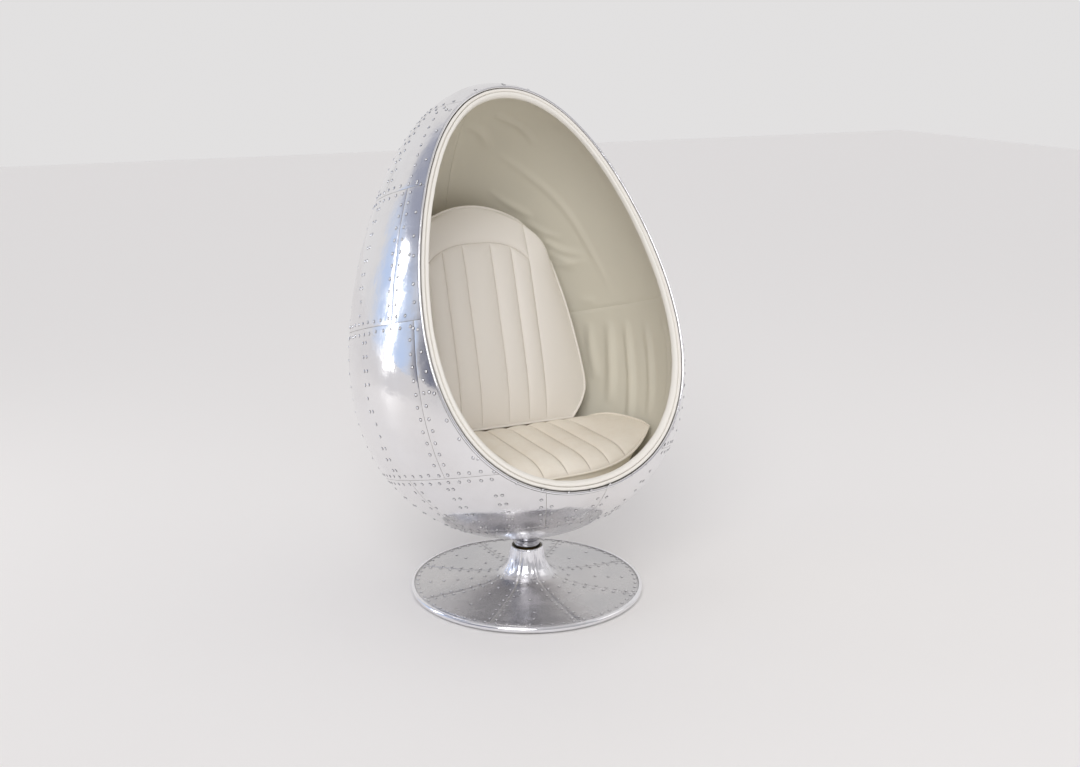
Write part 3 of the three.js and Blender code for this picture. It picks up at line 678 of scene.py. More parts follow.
def sheet_piece(key, polar_span, turn_span, whole_turn=False):
    """One bent sheet of the skin, cut back behind the rim."""
    s = sizes()
    (top, bottom), (left, right) = polar_span, turn_span
    middle_radius = egg_radius((top + bottom) / 2, 0)
    width, height = (right - left) * middle_radius, (bottom - top) * s.egg_half_length
    rows = max(4, round(height / pitch(SHEET_PITCH)))
    columns = max(4, round((right - left) * max(middle_radius, 0.15) / pitch(SHEET_PITCH)))
    bm = grid(columns, rows)
    gap = s.seam_width / 2
    for vert in bm.verts:
        across = vert.co.x if whole_turn else edge_share(vert.co.x, columns, EDGE_WIDTH / width)
        down = edge_share(vert.co.y, rows, EDGE_WIDTH / height)
        polar = lerp(top, bottom, down)
        edge = 1.0
        if top > 0:
            edge = down * height
            polar += gap / s.egg_half_length * (1 - down)
        if bottom < NEAR_POLE:
            edge = min(edge, (1 - down) * height)
            polar -= gap / s.egg_half_length * down
        polar = min(max(polar, POLE_MARGIN), pi - POLE_MARGIN)
        turn = lerp(left, right, across)
        if not whole_turn:
            turn += gap / egg_radius(polar, 0) * (1 - 2 * across)
            edge = min(edge, min(across, 1 - across) * width)
        point = egg_point(polar, turn)
        tuck = EDGE_TUCK * max(0.0, 1 - edge / EDGE_WIDTH)
        near_rim = clip((behind_opening(point) - 0.003) / 0.018)
        point -= egg_normal(polar, turn) * (tuck + SHEET_DROP - skin_dent(point) * near_rim)
        vert.co = point
    if whole_turn:
        bmesh.ops.remove_doubles(bm, verts=bm.verts, dist=0.0004)
    cut_opening(bm, SHEET_CUT)
    thicken(bm, s.sheet_thickness)
    finish_piece(f"skin_{key}", bm, POD, "sheet_metal", f"cladding_{key}")


def rivet_template():
    """Half-round rivet head with the dimple round it, and the share of painted shade on the
    vertices of the dimple and of the head's foot.
    """
    radius = sizes().rivet_radius
    bm = bmesh.new()
    bmesh.ops.create_uvsphere(bm, u_segments=9, v_segments=6, radius=radius)
    cut_away(bm, (0, 0, -radius * 0.1), (0, 0, 1))
    bmesh.ops.scale(bm, vec=(1, 1, HEAD_FLATNESS), verts=bm.verts)
    foot = {v for edge in open_edges(bm) for v in edge.verts}
    dimple = made_verts(bmesh.ops.extrude_edge_only(bm, edges=open_edges(bm)))
    for vert in dimple:
        vert.co = Vector((vert.co.x * DIMPLE_WIDTH, vert.co.y * DIMPLE_WIDTH, 0.0001))
    for vert in foot:
        vert.co.z = 0.0003
    bm.verts.index_update()
    # The dimple is fully and the head's foot half painted dark: painted shade round the rivet
    painted_shade_marks = {v.index: 1.0 for v in dimple}
    painted_shade_marks.update({v.index: 0.5 for v in foot})
    return mesh_of("rivet_template", bm), painted_shade_marks


def rivets_piece(name, places, body):
    """All the rivets of one band as one piece; places are (point, outward direction)."""
    template, painted_shade_marks = rivet_template()
    size = len(template.vertices)
    bm = bmesh.new()
    for point, normal in places:
        turn = normal.to_track_quat("Z", "Y").to_matrix().to_4x4()
        place_copy(bm, template, Matrix.Translation(point) @ turn)
    # Painted shade of each copy's dimple and foot
    mask = bm.verts.layers.float.new("mask")
    for index, vert in enumerate(bm.verts):
        vert[mask] = painted_shade_marks.get(index % size, 0.0)
    finish_piece(name, bm, body, "rivet_metal")
    bpy.data.meshes.remove(template)


def skin_place(polar, turn):
    """Place of a rivet on the dented skin, and the outward direction there."""
    point, normal = egg_point(polar, turn), egg_normal(polar, turn)
    return point + normal * (skin_dent(point) - SHEET_DROP), normal


def edge_rivets(polar_span, turn_span, whole_turn, chance):
    """Places along the four edges of a sheet, in its own polar and turn angles."""
    s = sizes()
    (top, bottom), (left, right) = polar_span, turn_span
    margin = s.rivet_margin
    rows = []
    high = top + margin / s.egg_half_length
    low = bottom - margin / s.egg_half_length
    for polar, used in ((high, top > 0), (low, bottom < NEAR_POLE)):
        if used:
            radius = egg_radius(polar, 0)
            count = max(2, round((right - left) * radius / s.rivet_pitch))
            inset = 0 if whole_turn else margin / radius
            for i in range(count if whole_turn else count + 1):
                rows.append((polar, lerp(left + inset, right - inset, i / count)))
    if not whole_turn:
        count = max(2, round((low - high) * s.egg_half_length / s.rivet_pitch))
        for i in range(1, count):
            polar = lerp(high, low, i / count)
            inset = margin / egg_radius(polar, 0)
            rows += [(polar, left + inset), (polar, right - inset)]
    places = []
    for polar, turn in rows:
        polar += chance.uniform(-RIVET_JITTER, RIVET_JITTER) / s.egg_half_length
        turn += chance.uniform(-RIVET_JITTER, RIVET_JITTER) / max(egg_radius(polar, 0), 0.05)
        if behind_opening(egg_point(polar, turn)) > EDGE_ROW_START:
            places.append(skin_place(polar, turn))
    return places


def rib_rivets(polar_span, turn, chance):
    """A double row of rivets down a sheet, where a rib is fixed behind it."""
    s = sizes()
    top, bottom = polar_span
    count = round((bottom - top) * s.egg_half_length / s.rivet_pitch) - 1
    places = []
    for i in range(1, count):
        polar = lerp(top, bottom, i / count)
        for side in RIB_LINES:
            if chance.random() < RIB_GAPS:
                continue
            spot = turn + (side + chance.uniform(-0.003, 0.003)) / egg_radius(polar, 0)
            if behind_opening(egg_point(polar, spot)) > RIB_ROW_START:
                places.append(skin_place(polar, spot))
    return places


def rim_rivets(chance):
    """Single and paired rivets along the rim."""
    places = []
    for i in range(RIM_GROUPS):
        turn = 2 * pi * (i + chance.uniform(-0.15, 0.15)) / RIM_GROUPS
        ring = rim_point(turn, 0)
        for step in (0.022, 0.040) if i % 3 == 0 else (0.024,):
            place = settle_on_skin(ring + Vector((0, step * 1.1, 0)))
            if place:
                places.append(place)
    return places


def settle_on_skin(point):
    """Nearest place of the egg's skin, found from the angles of the point."""
    along, forward = egg_axes(point)
    polar = acos(max(-1, min(1, along / sizes().egg_half_length)))
    radius = egg_radius(polar, 0)
    if radius < 0.02:
        return None
    turn = atan2(point.x, forward)
    for _ in range(12):
        shape = FRONT_STRETCH - FRONT_FLATNESS * cos(turn)
        turn = atan2(point.x / radius, forward / radius / shape)
    return skin_place(polar, turn)


def sector_angle(sector):
    return 2 * pi * sector / SECTORS


class SkinOperator(bpy.types.Operator):
    """Builds the metal sheets of the egg and their rivets"""

    bl_idname = "pod.skin"
    bl_label = "Metal skin"

    def execute(self, context):
        chance = random.Random(7)
        top = 0.0
        for band, end, joints in BANDS:
            span = (top * pi, end * pi)
            top = end
            places = []
            if not joints:
                whole = (0.0, 2 * pi)
                sheet_piece(band, span, whole, True)
                places += edge_rivets(span, whole, True, chance)
            for number, (first, last) in enumerate(zip(joints, joints[1:]), 1):
                turns = (sector_angle(first), sector_angle(last))
                sheet_piece(f"{band}_{number}", span, turns)
                places += edge_rivets(span, turns, False, chance)
                ribs = (last - first) // 3
                for rib in range(1, ribs + 1):
                    middle = sector_angle(first + (last - first) * rib / (ribs + 1))
                    places += rib_rivets(span, middle, chance)
            rivets_piece(f"rivets_{band}", places, POD)
        rivets_piece("rivets_rim", rim_rivets(chance), POD)
        return {"FINISHED"}


# Rim

# Sections of the rim's rings are points of (depth in the egg, distance inwards, lift off the
# opening's face). The metal edge is a small bead.
RIM_EDGE = (
    (0.0027, 0.0, -0.012),
    (0.0027, 0.0, -0.0032),
    (-0.0002, 0.0, -0.0028),
    (-0.0011, 0.0, -0.0012),
    (-0.0006, 0.0, 0.0008),
    (0.0010, 0.0, 0.0021),
    (0.0030, 0.0, 0.0025),
    (0.0046, 0.0, 0.0012),
    (0.0055, 0.0, -0.0008),
    (0.0058, 0.0, -0.004),
    (0.0070, 0.0, -0.012),
)
# The foot of every ring, the depth of the two rolls, and the start and the round of the inner one
RIM_FOOT = -0.012
ROLL_DEPTH = 0.0079
ROLL_START = 0.0116
ROLL_ROUND = 0.006


def rim_inwards(turn, inset):
    """Direction across the opening's face, square to the rim and towards its middle."""
    along = rim_point(turn + 0.03, inset) - rim_point(turn - 0.03, inset)
    return along.cross(opening_normal(rim_point(turn, inset).z)).normalized()


def rim_ring(name, section, finish_name, replaced, ripple):
    """Closed ring that follows the rim."""
    stations = 240
    count = len(section)
    bm = grid(stations, count)
    depths = sorted({inset for inset, _, _ in section})
    places = []
    for station in range(stations):
        turn = 2 * pi * station / stations
        places.append({deep: (rim_point(turn, deep), rim_inwards(turn, deep)) for deep in depths})
    for vert in bm.verts:
        inset, inwards, lift = section[round(vert.co.y * count) % count]
        point, direction = places[round(vert.co.x * stations) % stations][inset]
        point = point + direction * inwards
        vert.co = point + opening_normal(point.z) * lift
        vert.co += direction * noise.noise(vert.co * 26.0) * ripple
    bmesh.ops.remove_doubles(bm, verts=bm.verts, dist=0.00002)
    finish_piece(name, bm, POD, finish_name, replaced, flip=True)


def welt_section():
    """Section with a half-round front."""
    start, end, top, steps = 0.0002, 0.0108, 0.0042, 9
    middle, half = (start + end) / 2, (end - start) / 2
    points = [(ROLL_DEPTH, start, RIM_FOOT)]
    for i in range(steps + 1):
        angle = pi * i / steps
        inwards, lift = middle - half * cos(angle), top - half + half * sin(angle)
        points.append((ROLL_DEPTH, inwards, lift))
    return points + [(ROLL_DEPTH, end, RIM_FOOT)]


def roll_section():
    """Section of the roll that starts round beside its groove and turns in to the lining."""
    face = sizes().lining_depth + 0.0016
    points = [(ROLL_DEPTH, ROLL_START, RIM_FOOT)]
    for angle in range(0, 100, 18):
        turn = radians(angle)
        inwards, lift = ROLL_ROUND * (1 - cos(turn)), ROLL_ROUND * sin(turn) - 0.0008
        points.append((ROLL_DEPTH, ROLL_START + inwards, lift))
    for inwards, lift in ((0.0088, 0.0046), (0.0112, 0.0034)):
        points.append((ROLL_DEPTH, ROLL_START + inwards, lift))
    for deeper, lift in ((-0.0006, -0.003), (0.0004, -0.0075), (0.0, RIM_FOOT)):
        points.append((face + deeper, 0.0, lift))
    return points


class RimOperator(bpy.types.Operator):
    """Builds the metal edge of the opening and the two leather rolls inside it"""

    bl_idname = "pod.rim"
    bl_label = "Rim"

    def execute(self, context):
        rim_ring("rim_edge", RIM_EDGE, "bright_metal", "rim_strip", 0.0004)
        rim_ring("rim_outer_roll", welt_section(), "rim_leather", "rim_welt", 0.0006)
        rim_ring("rim_inner_roll", roll_section(), "rim_leather", "rim_roll", 0.001)
        return {"FINISHED"}


# Lining

# Folds: height, half the width, and the line as pairs of a share of the half turn from the crown
# and degrees round from the front
FOLDS = (
    (0.0040, 0.0195, ((0.21, 147), (0.279, 127), (0.341, 116), (0.413, 110), (0.472, 106))),
    (0.0045, 0.0156, ((0.283, 155), (0.305, 148), (0.322, 142), (0.335, 137), (0.344, 134))),
    (0.0049, 0.0156, ((0.345, 139), (0.361, 134), (0.375, 129), (0.385, 123))),
    (0.0054, 0.0175, ((0.374, 133), (0.392, 129), (0.408, 123), (0.42, 113))),
    (0.0054, 0.0156, ((0.401, 131), (0.417, 126), (0.427, 121), (0.429, 113))),
    (0.0040, 0.0156, ((0.42, 130), (0.431, 124), (0.434, 119))),
    (0.0040, 0.0215, ((0.113, 141), (0.135, 130), (0.164, 120))),
    (0.0045, 0.0234, ((0.133, 174), (0.157, 159), (0.197, 152))),
    (0.0032, 0.0215, ((0.147, 124), (0.179, 119), (0.211, 118))),
    (0.0069, 0.0225, ((0.526, 119), (0.57, 120), (0.62, 119))),
    (0.0098, 0.0255, ((0.526, 110), (0.5677, 111), (0.6143, 112), (0.663, 113))),
    (0.0103, 0.0225, ((0.53, 101), (0.57, 102), (0.613, 102), (0.658, 102), (0.704, 102))),
    (0.0086, 0.0240, ((0.537, 90), (0.5827, 90), (0.6303, 90), (0.69, 90))),
    (0.0052, 0.0180, ((0.529, 76), (0.5747, 74), (0.6203, 75), (0.667, 77))),
    (0.0027, 0.0195, ((0.488, 121), (0.492, 117), (0.494, 114))),
    (0.0070, 0.0208, ((0.54, 255), (0.6, 256), (0.66, 258))),
    (0.0080, 0.0208, ((0.53, 242), (0.59, 243), (0.65, 243))),
    (0.0045, 0.0195, ((0.33, 222), (0.36, 228), (0.4, 236), (0.43, 246))),
    (0.0040, 0.0195, ((0.24, 212), (0.3, 232), (0.36, 246), (0.44, 254))),
)
LINING_SEAM = 0.505 * pi
LINING_PITCH = 0.0085
LINING_CUT = 0.0130
LINING_THICKNESS = 0.012


def fold_lines():
    """Folds as runs of points on the lining, with their middles and reaches."""
    depth = sizes().lining_depth
    runs = []
    for height, width, line in FOLDS:
        points = []
        steps = 4 * (len(line) - 1)
        for i in range(steps + 1):
            polar, turn = spline(line, i / steps)
            points.append(egg_point(polar * pi, radians(turn), depth))
        middle = sum(points, Vector()) / len(points)
        reach = max((point - middle).length for point in points) + 4 * width
        runs.append((height, width, points, middle, reach))
    return runs


def lining_fold(point, runs):
    """Height of the folds at a point of the lining: a ridge with a hollow on either side."""
    rise = 0.0
    for height, width, points, middle, reach in runs:
        if (point - middle).length > reach:
            continue
        best, along = 1.0, 0.0
        for i in range(len(points) - 1):
            share = clip(intersect_point_line(point, points[i], points[i + 1])[1])
            gap = (point - points[i].lerp(points[i + 1], share)).length
            if gap < best:
                best, along = gap, (i + share) / (len(points) - 1)
        t = best / width
        rise += height * sin(pi * along) ** 0.7 * (1 - t * t) * exp(-t * t)
    return rise


def lining_panel(level, hand, span, first, runs):
    """One panel of the lining, tucked in at its seams and cut behind the rim."""
    depth = sizes().lining_depth
    top, bottom = span
    height = (bottom - top) * sizes().egg_half_length
    fineness = pitch(LINING_PITCH)
    bm = grid(round(pi * 0.45 / fineness), round(height / fineness))
    for vert in bm.verts:
        across, down = vert.co.x, vert.co.y
        polar = min(max(lerp(top, bottom, down), 0.0006), pi - 0.0006)
        turn = first + pi * (0.0003 + 0.9994 * across)
        ends = min(across, 1 - across) * pi * egg_radius(polar, 0)
        seam_gap = (down if level == "side" else 1 - down) * height
        point = egg_point(polar, turn, depth)
        edge = clip((behind_opening(point) - 0.014) / 0.04)
        tuck = 0.0022 * edge * max(0.0, 1 - seam_gap / 0.010) ** 2
        tuck += 0.0008 * max(0.0, 1 - ends / 0.006) ** 2
        place = point * 3.4
        soft = noise.noise(place) * 0.003 + noise.noise(place * 3.5) * 0.0012
        puff = lining_fold(point, runs) + soft
        vert.co = egg_point(polar, turn, depth + 0.0012 + puff * edge - tuck)
    cut_opening(bm, LINING_CUT)
    cut_away(bm, (0, 0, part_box("seat_deck")[1].z + 0.0006), (0, 0, 1))
    bmesh.ops.remove_doubles(bm, verts=bm.verts, dist=0.0005)
    thicken(bm, LINING_THICKNESS, inwards=False)
    name, leather = f"lining_{level}_{hand}", "lining_leather"
    piece = finish_piece(f"{name}_skin", bm, POD, leather, name)


class LiningOperator(bpy.types.Operator):
    """Builds the padded leather lining in its four panels"""

    bl_idname = "pod.lining"
    bl_label = "Lining"

    def execute(self, context):
        runs = fold_lines()
        for level, span in (("hood", (0.0, LINING_SEAM)), ("side", (LINING_SEAM, pi))):
            for hand, first in (("right", 0.0), ("left", pi)):
                lining_panel(level, hand, span, first, runs)
        return {"FINISHED"}


# Cushions

# Outlines are pairs of a width share and a length share; seams are shares of the half width
SEAT_OUTLINE = ((1.0, 0.0), (1.02, 0.25), (0.93, 0.6), (0.77, 1.0))
SEAT_SEAMS = (0.12, 0.357, 0.57, 0.77, 1.0)
SEAT_HALF = 0.4303
SEAT_BACK = 0.2880
SEAT_FOOT = 0.3598
SEAT_TOP = 0.4468
BACK_OUTLINE = (
    (0.82, 0.0),
    (0.95, 0.08),
    (1.0, 0.18),
    (0.935, 0.45),
    (0.845, 0.65),
    (0.75, 0.785),
    (0.58, 0.897),
    (0.31, 0.978),
    (0.0, 1.0),
)
BACK_SEAMS = (0.142, 0.352, 0.535, 1.0)
BACK_LEAN = radians(18)
BACK_FOOT = Vector((0.012, 0.2621, 0.4778))
BACK_HEIGHT = 0.768
BACK_HALF = 0.3659
BACK_DEPTH = 0.075
# The share of the rows at which the arched seam runs, and how far the top falls to its ends
ARCH_SHARE = 0.7
TOP_FALL = 0.064
# The boxing's rows and how far they draw in, and the cloth run's pressure, cap and length
BOXING_LAYERS = 6
BOXING_DRAW = 0.006
CUSHION_PRESSURE = 2.5
CUSHION_SWELL = 0.006
CLOTH_FRAMES = 12
# The share of a channel beside its seam, and how much painted shade the seams and the edges take
SEAM_SHARE = 0.028
SEAM_PAINTED_SHADE, EDGE_PAINTED_SHADE = 0.65, 0.3
STITCH_PUFF = 0.06
STITCH_PITCH = 0.0075
STITCH_SIZE = (0.0009, 0.0024, 0.0007, 1.0)


def back_spot(across, up, forward):
    """Place on the back cushion: across, up its lean, forward of its piping."""
    back = BACK_FOOT.y + up * sin(BACK_LEAN) - forward * cos(BACK_LEAN)
    rise = BACK_FOOT.z + up * cos(BACK_LEAN) + forward * sin(BACK_LEAN)
    return Vector((BACK_FOOT.x + across, back, rise))


def channel_lines(seams, per_channel=6):
    """Places across a cushion, closer at the seams, and the place of each in its channel."""
    edges = [-x for x in reversed(seams)] + list(seams)
    lines = []
    for start, end in zip(edges, edges[1:]):
        lines.append((start, -1.0))
        lines.append((lerp(start, end, SEAM_SHARE), -0.944))
        for i in range(1, per_channel):
            t = i / per_channel
            eased = (1 - cos(pi * t)) / 2 * 0.5 + t * 0.5
            lines.append((lerp(start, end, eased), 2 * eased - 1))
        lines.append((lerp(start, end, 1 - SEAM_SHARE), 0.944))
    return lines + [(edges[-1], 1.0)]


def row_shares(steps, *close):
    """Shares of the rows of a cushion, with close rows beside a cross seam."""
    return sorted([i / steps for i in range(steps + 1)] + list(close))


def pillow(t):
    return (1 - abs(t) ** 2.6) ** 0.6 if abs(t) < 1 else 0.0


def swell(across, along, roundness):
    return (1 - abs(across) ** 4) * (1 - abs(along) ** roundness)


def seat_place(side, back_share, up, puff):
    """Place on the seat cushion: side -1 to 1, back share 0 to 1, up share 0 to 1."""
    run = 2 * back_share - 1
    drawn = BOXING_DRAW * sin(pi * up)
    half = SEAT_HALF * outline_width(SEAT_OUTLINE, back_share) * lerp(0.79, 1, up)
    border, inner = SEAT_SEAMS[-2], lerp(0.27, 0.255, back_share)
    straight = inner * min(1.0, abs(side) / border)
    straight += (half - inner) * max(0.0, abs(side) - border) / (1 - border)
    across = copysign(lerp(abs(side) * half, straight, up), side)
    across -= 0.016 * (1 - back_share) * (1 - side**2) * up
    out = min(1.0, abs(across) / half)
    lift = 0.063 * out**3 * (1 - max(0.0, run) ** 2) + 0.004 * (1 - back_share) ** 3
    crown = 0.048 - sizes().seam_depth * (1 - puff)
    top = SEAT_TOP + lift + crown * swell(out, run, 6)
    nose = 0.1822 * out**2.6 - 0.2346
    back = lerp(nose, SEAT_BACK, back_share) - drawn * run
    return Vector((across - side * drawn, back, lerp(SEAT_FOOT, top, up)))


def back_place(side, row_share, out, puff):
    """Place on the back cushion: side -1 to 1, row share 0 to 1, out share 0 to 1."""
    border = BACK_SEAMS[-2]
    below = min(1.0, row_share / ARCH_SHARE)
    above = max(0.0, row_share - ARCH_SHARE) / (1 - ARCH_SHARE)
    within = min(1.0, abs(side) / border)
    beyond = max(0.0, abs(side) - border) / (1 - border)
    arch = below * BACK_HEIGHT * 0.826 - 0.070 * below**3 * within**3
    middle = lerp(arch, BACK_HEIGHT - TOP_FALL * within**2, above)
    corner = lerp(below * 0.61, 0.72, above)
    up = lerp(middle, corner * BACK_HEIGHT, beyond)
    top_reach = BACK_HALF * outline_width(BACK_OUTLINE, 1 - TOP_FALL / BACK_HEIGHT)
    reach = within * lerp(border * BACK_HALF, top_reach, above)
    chord = lerp(reach, BACK_HALF * outline_width(BACK_OUTLINE, corner), beyond)
    bulge = above * 4 * beyond * (1 - beyond)
    edge = BACK_HALF * outline_width(BACK_OUTLINE, up / BACK_HEIGHT)
    across = copysign(lerp(chord, edge, bulge), side)
    rise = 2 * up / BACK_HEIGHT - 1
    crown = 0.050 - sizes().seam_depth * (1 - puff)
    face = crown * swell(side, rise, 4) if row_share < 1 else 0.0
    drawn = BOXING_DRAW * sin(pi * out)
    return back_spot(across - side * drawn, up - rise * drawn, lerp(-BACK_DEPTH, face, out))


def cushion_body(lines, shares, place, puff_of):
    """Closed cushion: a mapped top with its boxing drawn down from its edge. Returns its bmesh and
    the numbers of the vertices that seams and piping hold."""
    columns, rows = len(lines) - 1, len(shares) - 1
    bm = grid(columns, rows)
    mask = bm.verts.layers.float.new("mask")
    crease = bm.edges.layers.float.new("crease_edge")
    keys = {vert: (round(vert.co.x * columns), round(vert.co.y * rows)) for vert in bm.verts}
    held = set()
    for vert, (column, row) in keys.items():
        side, t = lines[column]
        puff = puff_of(side, t, shares[row])
        vert.co = place(side, shares[row], 1.0, puff)
        edge = column in (0, columns) or row in (0, rows)
        if puff < 0.02 or edge:
            held.add(vert)
            # Seams and the edges of the top take painted shade
            vert[mask] = EDGE_PAINTED_SHADE if edge else SEAM_PAINTED_SHADE
    for edge in bm.edges:
        if all(vert[mask] > 0.6 for vert in edge.verts):
            edge[crease] = 0.7
    boundary = open_edges(bm)
    for layer in range(1, BOXING_LAYERS + 1):
        before = {v for edge in boundary for v in edge.verts}
        made = bmesh.ops.extrude_edge_only(bm, edges=boundary)
        for vert in made_verts(made):
            old = next(o for e in vert.link_edges for o in e.verts if o is not vert and o in before)
            column, row = keys[vert] = keys[old]
            vert.co = place(lines[column][0], shares[row], 1 - layer / BOXING_LAYERS, 0.0)
            vert[mask] = 0.0
        edges = [item for item in made["geom"] if isinstance(item, bmesh.types.BMEdge)]
        boundary = [edge for edge in edges if edge.is_boundary]
    for edge in boundary:
        held.update(edge.verts)
    bmesh.ops.holes_fill(bm, edges=boundary, sides=0)
    bmesh.ops.recalc_face_normals(bm, faces=bm.faces)
    bm.verts.index_update()
    return bm, sorted(vert.index for vert in held)


def inflate(piece, held):
    """Lets the cushion swell between its seams with a short cloth run, and keeps the result."""
    mesh = piece.data
    before = [v.co.copy() for v in mesh.vertices]
    group = piece.vertex_groups.new(name="seams")
    group.add(held, 1.0, "REPLACE")
    cloth = piece.modifiers.new("Cloth", "CLOTH")
    settings = cloth.settings
    settings.vertex_group_mass = "seams"
    settings.use_pressure = True
    settings.uniform_pressure_force = CUSHION_PRESSURE
    settings.effector_weights.gravity = 0.0
    settings.mass = 0.3
    settings.tension_stiffness = settings.compression_stiffness = 25
    settings.bending_stiffness = 0.6
    cloth.point_cache.frame_start = 1
    cloth.point_cache.frame_end = CLOTH_FRAMES
    scene = bpy.context.scene
    for number in range(1, CLOTH_FRAMES + 1):
        scene.frame_set(number)
    shaped = piece.evaluated_get(bpy.context.evaluated_depsgraph_get())
    after = [v.co.copy() for v in shaped.to_mesh().vertices]
    shaped.to_mesh_clear()
    piece.modifiers.remove(cloth)
    piece.vertex_groups.remove(group)
    for vert, old, new in zip(mesh.vertices, before, after):
        move = new - old
        if move.length > CUSHION_SWELL:
            move = move.normalized() * CUSHION_SWELL
        vert.co = old + move
    scene.frame_set(1)


def piping_piece(name, path, finish_name):
    """Closed round cord along a path of points."""
    bm = bmesh.new()
    count = len(path)
    previous = None
    rings = []
    shape = {"cap_ends": False, "segments": 8, "radius": sizes().piping_radius}
    for i, point in enumerate(path):
        direction = (path[(i + 1) % count] - path[i - 1]).normalized()
        side = direction.cross(Vector((0, 0, 1)))
        if side.length < 0.2:
            side = direction.cross(Vector((0, 1, 0)))
        side.normalize()
        if previous is not None and side.dot(previous) < 0:
            side = -side
        previous = side
        lift = side.cross(direction).normalized()
        ring = bmesh.ops.create_circle(bm, **shape)["verts"]
        matrix = Matrix((side, lift, direction)).transposed().to_4x4()
        bmesh.ops.transform(bm, matrix=Matrix.Translation(point) @ matrix, verts=ring)
        rings.append([e for v in ring for e in v.link_edges])
    for i, ring in enumerate(rings):
        bmesh.ops.bridge_loops(bm, edges=list(set(ring + rings[(i + 1) % count])))
    return finish_piece(name, bm, POD, finish_name, flip=True)


def stitches_piece(name, place, lines, normal):
    """Short raised stitches along lines of places on a cushion."""
    shape = bmesh.new()
    bmesh.ops.create_uvsphere(shape, u_segments=6, v_segments=4, radius=1.0)
    template = mesh_of("stitch_template", shape)
    bm = bmesh.new()
    scale = Matrix.Diagonal(STITCH_SIZE)
    for line in lines:
        points = [place(side, share, 1.0, STITCH_PUFF) for side, share in line]
        travelled = 0.0
        for point, ahead in zip(points, points[1:]):
            step = (ahead - point).length
            direction = (ahead - point).normalized()
            side = direction.cross(normal).normalized()
            up = side.cross(direction).normalized()
            turn = Matrix((side, direction, up)).transposed().to_4x4()
            while travelled < step:
                spot = point.lerp(ahead, travelled / step) + normal * 0.0004
                place_copy(bm, template, Matrix.Translation(spot) @ turn @ scale)
                travelled += STITCH_PITCH
            travelled -= step
    bpy.data.meshes.remove(template)
    finish_piece(name, bm, POD, "stitch_thread", flip=True)


def edge_path(place, side_steps):
    """Closed run of points round the edge of a cushion."""
    front = [(i / 40, 0.0) for i in range(-40, 41)]
    right = [(1.0, i / side_steps) for i in range(1, side_steps + 1)]
    rear = [(-i / 40, 1.0) for i in range(-39, 41)]
    left = [(-1.0, 1 - i / side_steps) for i in range(1, side_steps)]
    return [place(side, share, 1.0, 0.0) for side, share in front + right + rear + left]


def build_cushion(name, seams, shares, place, puff_of, finish_name, side_steps):
    """Cushion with its sewn channels, swollen by the cloth run, and the piping round its edge."""
    bm, held = cushion_body(channel_lines(seams), shares, place, puff_of)
    piece = finish_piece(f"{name}_cushion_leather", bm, POD, finish_name)
    inflate(piece, held)
    smooth = piece.modifiers.new("Subdivision", "SUBSURF")
    smooth.levels = smooth.render_levels = 2
    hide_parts(f"{name}_cushion")
    piping = piping_piece(f"{name}_piping", edge_path(place, side_steps), finish_name)


class SeatOperator(bpy.types.Operator):
    """Builds the seat cushion with its channels, piping and stitches"""

    bl_idname = "pod.seat"
    bl_label = "Seat cushion"

    def execute(self, context):
        def puff_of(side, t, share):
            return pillow(t)

        build_cushion("seat", SEAT_SEAMS, row_shares(36), seat_place, puff_of, "seat_leather", 50)
        lines = []
        for seam in SEAT_SEAMS[:-1]:
            lines += [[(hand * seam, i / 75) for i in range(2, 70)] for hand in (-1, 1)]
        stitches_piece("seat_stitches", seat_place, lines, Vector((0, -0.1, 1)).normalized())
        return {"FINISHED"}


class BackOperator(bpy.types.Operator):
    """Builds the back cushion with its channels, arched seam, piping and stitches"""

    bl_idname = "pod.back"
    bl_label = "Back cushion"

    def execute(self, context):
        border = BACK_SEAMS[-2]

        def puff_of(side, t, share):
            near_arch = max((ARCH_SHARE - share) * 0.906, (share - ARCH_SHARE) * 0.44)
            arch = pillow(max(0.0, 1 - near_arch / 0.03)) if abs(side) <= border else 1.0
            if share > ARCH_SHARE + 0.0001 and abs(side) < border - 1e-6:
                near_side = (border - abs(side)) * BACK_HALF / 0.02
                return min(arch, pillow(max(0.0, 1 - near_side)))
            return min(pillow(t), arch)

        shares = row_shares(40, ARCH_SHARE - 0.0035, ARCH_SHARE + 0.0035)
        build_cushion("back", BACK_SEAMS, shares, back_place, puff_of, "cushion_leather", 60)
        lines = []
        for seam in BACK_SEAMS[:-1]:
            lines += [[(x * seam, ARCH_SHARE * i / 80) for i in range(2, 80)] for x in (-1, 1)]
        lines.append([(border * i / 40, ARCH_SHARE) for i in range(-40, 41)])
        forward = Vector((0, -cos(BACK_LEAN), sin(BACK_LEAN)))
        stitches_piece("back_stitches", back_place, lines, forward)
        return {"FINISHED"}


# Base

# The trumpet flares from its neck out to its edge, over a waist that it would narrow to
GORES = 8
NECK_RADIUS = 0.052
FLARE_WAIST = 0.0364
FLARE_FOOT = 0.022
FLARE_TOP = 0.1456
# The bead's reach over the gores, half its width and height, and its middle height
BEAD_REACH = 0.0124
BEAD_SECTION = (0.0085, 0.0094)
BEAD_HEIGHT = 0.0130
# How far the gores lie under the trumpet's surface, and the share of their turned-in edges
GORE_DROP = 0.0004
GORE_EDGE = 0.02
# Rows of the base's rivets: start from the axis, end from the edge, pitch; the edge's own row has
# no start
SEAM_ROW = (0.10, 0.03, 0.034)
RIB_ROW = (0.14, 0.06, 0.045)
EDGE_ROW = (0.024, 0.038)
# Profile of the hub's collar from below: radius and rise
COLLAR = (
    (0.0165, 0.0),
    (0.037, 0.0),
    (0.0405, 0.0016),
    (0.0425, 0.006),
    (0.0405, 0.0105),
    (0.0365, 0.0125),
    (0.0360, 0.020),
    (0.0395, 0.0225),
)


